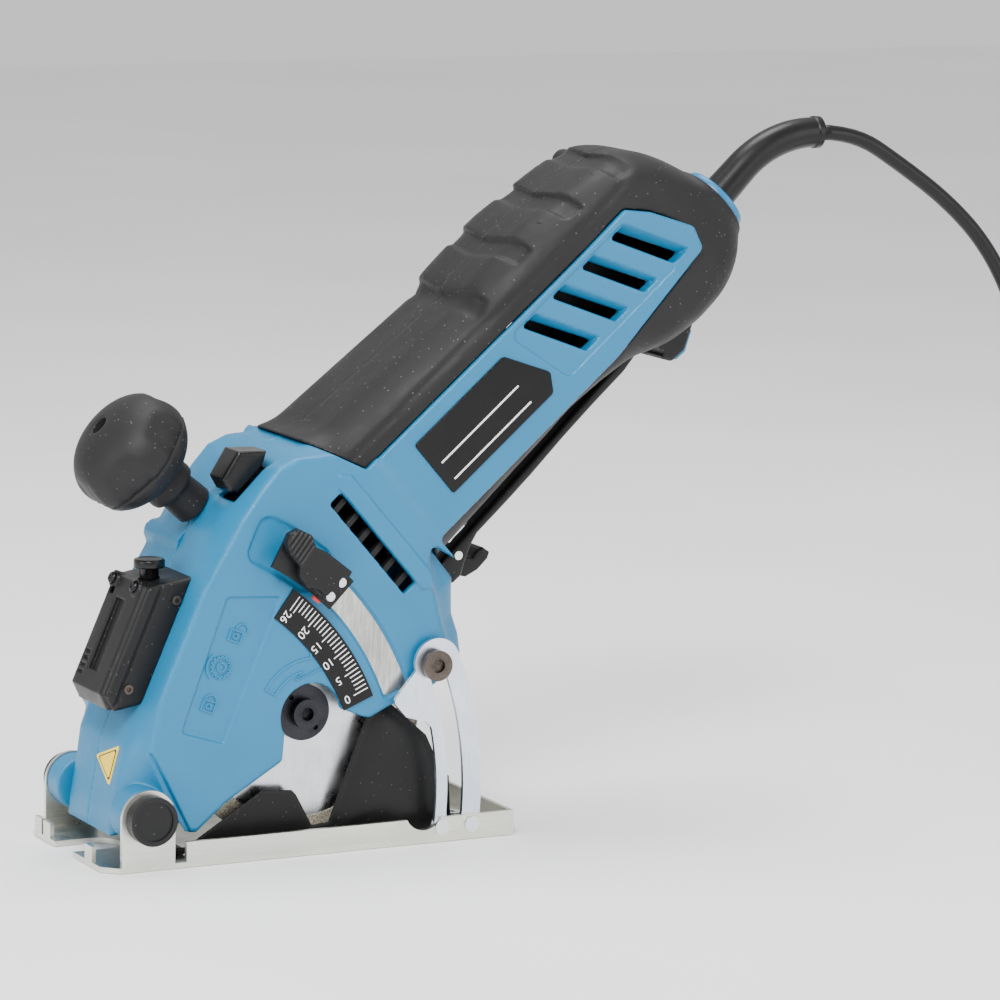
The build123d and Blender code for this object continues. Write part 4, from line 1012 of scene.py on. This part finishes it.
def lock_button():
    grid = Grid((-29, -22, 103), (-4, -7, 136), 0.3)
    x, y, z = grid.a, grid.b, grid.c
    body = slab(outline(LOCK_SHAPE, x, z), y, -20.6, -8.4, 1.3)
    stem = outline([(-19.7, 124), (-16.7, 126), (-5.9, 106.5), (-8.9, 104.5)], x, z)
    stem = slab(stem, y, -16.0, -12.5, 0.3)
    surface("spindle_lock_skin", join(body, stem, 0.4), grid, "spindle_lock", black_satin, None, 0.02,
            ("spindle_lock_button",))


# ---- printed and embossed marks -----------------------------------------------------------------------
def ribbons(name, paths, y, width, height, body, material):
    """Raised or printed lines on a plane facing -Y; each path is a list of X, Z points."""
    points, faces = [], []
    for path in paths:
        closed = path[0] == path[-1]
        line = [Vector((p[0], 0, p[1])) for p in path]
        start = len(points)
        for i, here in enumerate(line):
            before = line[i - 1] if i else (line[-2] if closed else here)
            after = line[i + 1] if i < len(line) - 1 else (line[1] if closed else here)
            a, b = (here - before).normalized(), (after - here).normalized()
            way = (a + b).normalized()
            side = Vector((-way.z, 0, way.x)) * width / 2
            if a.length > 0 and b.length > 0:
                side /= max(abs(way.dot(a)), 0.5)
            for place, lift in ((here + side, 0), (here + side * 0.7, height), (here - side * 0.7, height),
                                (here - side, 0)):
                points.append((place.x, y - lift, place.z))
        for i in range(len(line) - 1):
            for k in range(3):
                a, b = start + 4 * i + k, start + 4 * (i + 1) + k
                faces.append((a, a + 1, b + 1, b))
            faces.append((start + 4 * i + 3, start + 4 * i, start + 4 * (i + 1), start + 4 * (i + 1) + 3))
        if not closed:
            faces.append((start + 3, start + 2, start + 1, start))
            end = start + 4 * (len(line) - 1)
            faces.append((end, end + 1, end + 2, end + 3))
    return add_mesh(name, points, faces, body, material, False)


def arc_points(centre, r, a0, a1, count=16):
    return [polar(r, a0 + (a1 - a0) * k / (count - 1), centre) for k in range(count)]


def pictograms():
    """Open lock, toothed wheel and closed lock in the strip, and the arrow round the spindle."""
    paths = []
    for centre, opened in (((-26.4, 75.5), True), ((-35.9, 52.7), False)):
        square = [(-2.3, -2.4), (2.3, -2.4), (2.3, 1.2), (-2.3, 1.2), (-2.3, -2.4)]
        shackle = arc_points((1.5 if opened else 0, 2.0 if opened else 1.2), 2.1, 200 if opened else 180,
                             -10 if opened else 0, 14)
        ring = arc_points((0, -0.6), 0.9, 0, 360, 16)
        ring[-1] = ring[0]
        lean = radians(-22)
        for path in (square, shackle, ring):
            paths.append([(centre[0] + px * cos(lean) - pz * sin(lean),
                           centre[1] + px * sin(lean) + pz * cos(lean)) for px, pz in path])
        paths[-3][-1] = paths[-3][0]
        paths[-1][-1] = paths[-1][0]
    wheel = []
    for k in range(16):
        for r, a in ((3.0, 0), (3.0, 9), (3.7, 12), (3.7, 20)):
            wheel.append(polar(r, 22.5 * k + a, (-31.7, 64.8)))
    paths.append(wheel + [wheel[0]])
    hub = arc_points((-31.7, 64.8), 1.5, 0, 360, 20)
    hub[-1] = hub[0]
    paths.append(hub)
    paths.append(arc_points((-31.7, 64.8), 5.2, 120, 220, 12))
    ribbons("pictograms", paths, -29.85, 0.55, 0.6, "saw_unit", blue_shell)
    arrow = arc_points(SPINDLE, 19.8, 149, 92, 14) + [(0.5, 68.2), (8.6, 63.4), (-4.8, 58.8)]
    arrow += arc_points(SPINDLE, 15.8, 104, 149, 12)
    ribbons("rotation_arrow", [arrow + [arrow[0]]], -30.9, 0.7, 0.55, "saw_unit", blue_shell)


def scale_marks():
    """A tick for each millimetre of depth and a number at every fifth."""
    zero, full, deepest = 24.4, 51.3, 26
    ticks = []
    for depth in range(deepest + 1):
        a = zero + (full - zero) * depth / deepest
        long = depth % 5 == 0 or depth == deepest
        ticks.append([polar(83.2 if long else 84.6, a), polar(88.8, a)])
    ribbons("scale_ticks", ticks, -31.58, 0.42, 0.05, "saw_unit", white_ink)
    made = []
    for depth in (0, 5, 10, 15, 20, 26):
        a = zero + (full - zero) * depth / deepest
        text = bpy.data.curves.new("digit", "FONT")
        text.body = str(depth)
        text.size, text.align_x, text.align_y = 4.1 * MM, "CENTER", "CENTER"
        text.extrude = 0.04 * MM
        holder = bpy.data.objects.new("digit", text)
        bpy.context.scene.collection.objects.link(holder)
        place = polar(80.6, a)
        upright = Matrix.Rotation(radians(90), 4, "X") @ Matrix.Rotation(radians(a + 180), 4, "Z")
        holder.matrix_world = Matrix.Translation((place[0] * MM, -31.6 * MM, place[1] * MM)) @ upright
        bpy.context.view_layer.update()
        mesh = bpy.data.meshes.new_from_object(holder)
        mesh.transform(holder.matrix_world)
        made.append(mesh)
        bpy.data.objects.remove(holder)
    for k, mesh in enumerate(made):
        piece = bpy.data.objects.new(f"scale_number_{k}", mesh)
        bpy.context.scene.collection.objects.link(piece)
        finish_piece(piece, "saw_unit", white_ink, False)


def labels():
    """The blank gloss label with two plain bars, and the plain yellow triangle."""
    shape = [(117.6, 54.4), (117, 55), (117, 76.2), (117.8, 77), (159.4, 77), (160.6, 76.4), (169.4, 61.4),
             (169.6, 60.2), (166.4, 54.8), (165.4, 54.3)]
    plate("label_skin", [at_uv(*p) for p in shape], -30.95, -30.2, 0.2, "saw_unit", gloss_label,
          ("label_plate",))
    bars = [[at_uv(120.5, v), at_uv(158, v)] for v in (65.5, 58)]
    ribbons("label_bars", bars, -30.94, 0.7, 0.04, "saw_unit", white_ink)
    low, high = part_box("caution_plate")
    centre = (low + high) / 2 / MM
    out, up = Vector((-0.986, 0, 0.166)), Vector((0.166, 0, 0.986))
    across = Vector((0, 1, 0))
    corners = [(8.6, 0.8), (-8.6, 7.3), (-5.6, -7.1)]
    middle = Vector((sum(c[0] for c in corners) / 3, sum(c[1] for c in corners) / 3, 0))
    layers = (("caution_skin", 1.0, 0.30, signal_yellow), ("caution_line", 0.80, 0.36, dark_ink),
              ("caution_field", 0.70, 0.42, signal_yellow))
    for name, grow, lift, ink in layers:
        rim = []
        for k in range(3):
            here = Vector((*corners[k], 0)) * grow + middle * (1 - grow)
            for other in (corners[k - 1], corners[(k + 1) % 3]):
                there = Vector((*other, 0)) * grow + middle * (1 - grow)
                rim.append(here + (there - here).normalized() * 0.9)
        points, count = [], len(rim)
        for height in (0.0, lift):
            points += [centre + out * (height - 0.5) + across * p.x + up * p.y for p in rim]
        faces = [tuple(range(count)), tuple(range(2 * count - 1, count - 1, -1))]
        faces += [(k, count + k, count + (k + 1) % count, (k + 1) % count) for k in range(count)]
        stands = ("caution_plate",) if name == "caution_skin" else ()
        piece = add_mesh(name, points, faces, "saw_unit", ink, False, stands)
        turn_outward(piece)


def rack_cover():
    """The steel strip behind the depth slot."""
    grid = Grid((-2, -30.2, 48), (48, -28, 106), 0.4)
    x, y, z = grid.a, grid.b, grid.c
    body = slab(arc_band(91.8, 104.7, 20.2, 55.2, x, z), y, -29.7, -28.6, 0.2)
    surface("depth_rack_skin", body, grid, "saw_unit", slide_steel, None, 0.1, ("depth_rack",))


def exhaust_vanes():
    """Dark vanes set back inside the long slot beside the motor, near side and far side."""
    for name, inner, outer in (("vanes_near", -27.9, -25.6), ("vanes_far", 22.6, 24.9)):
        points, faces = [], []
        for k in range(6):
            low = 43.2 + 7.0 * k
            for y in (inner, outer):
                for corner in ((81.6, low), (88.4, low + 0.6), (88.4, low + 2.6), (81.6, low + 2.0)):
                    place = at_uv(*corner)
                    points.append((place[0], y, place[1]))
            n = 8 * k
            faces += [(n, n + 1, n + 2, n + 3), (n + 7, n + 6, n + 5, n + 4)]
            faces += [(n + i, n + 4 + i, n + 4 + (i + 1) % 4, n + (i + 1) % 4) for i in range(4)]
        add_mesh(name, points, faces, "saw_unit", black_body, False)


for half in (-1, 1):
    housing(half)
    grip(half)
blue_foot()
front_knob()
laser_case()
blade_guard()
depth_lever()
paddle_and_catch()
lock_button()
pictograms()
scale_marks()
labels()
rack_cover()
exhaust_vanes()
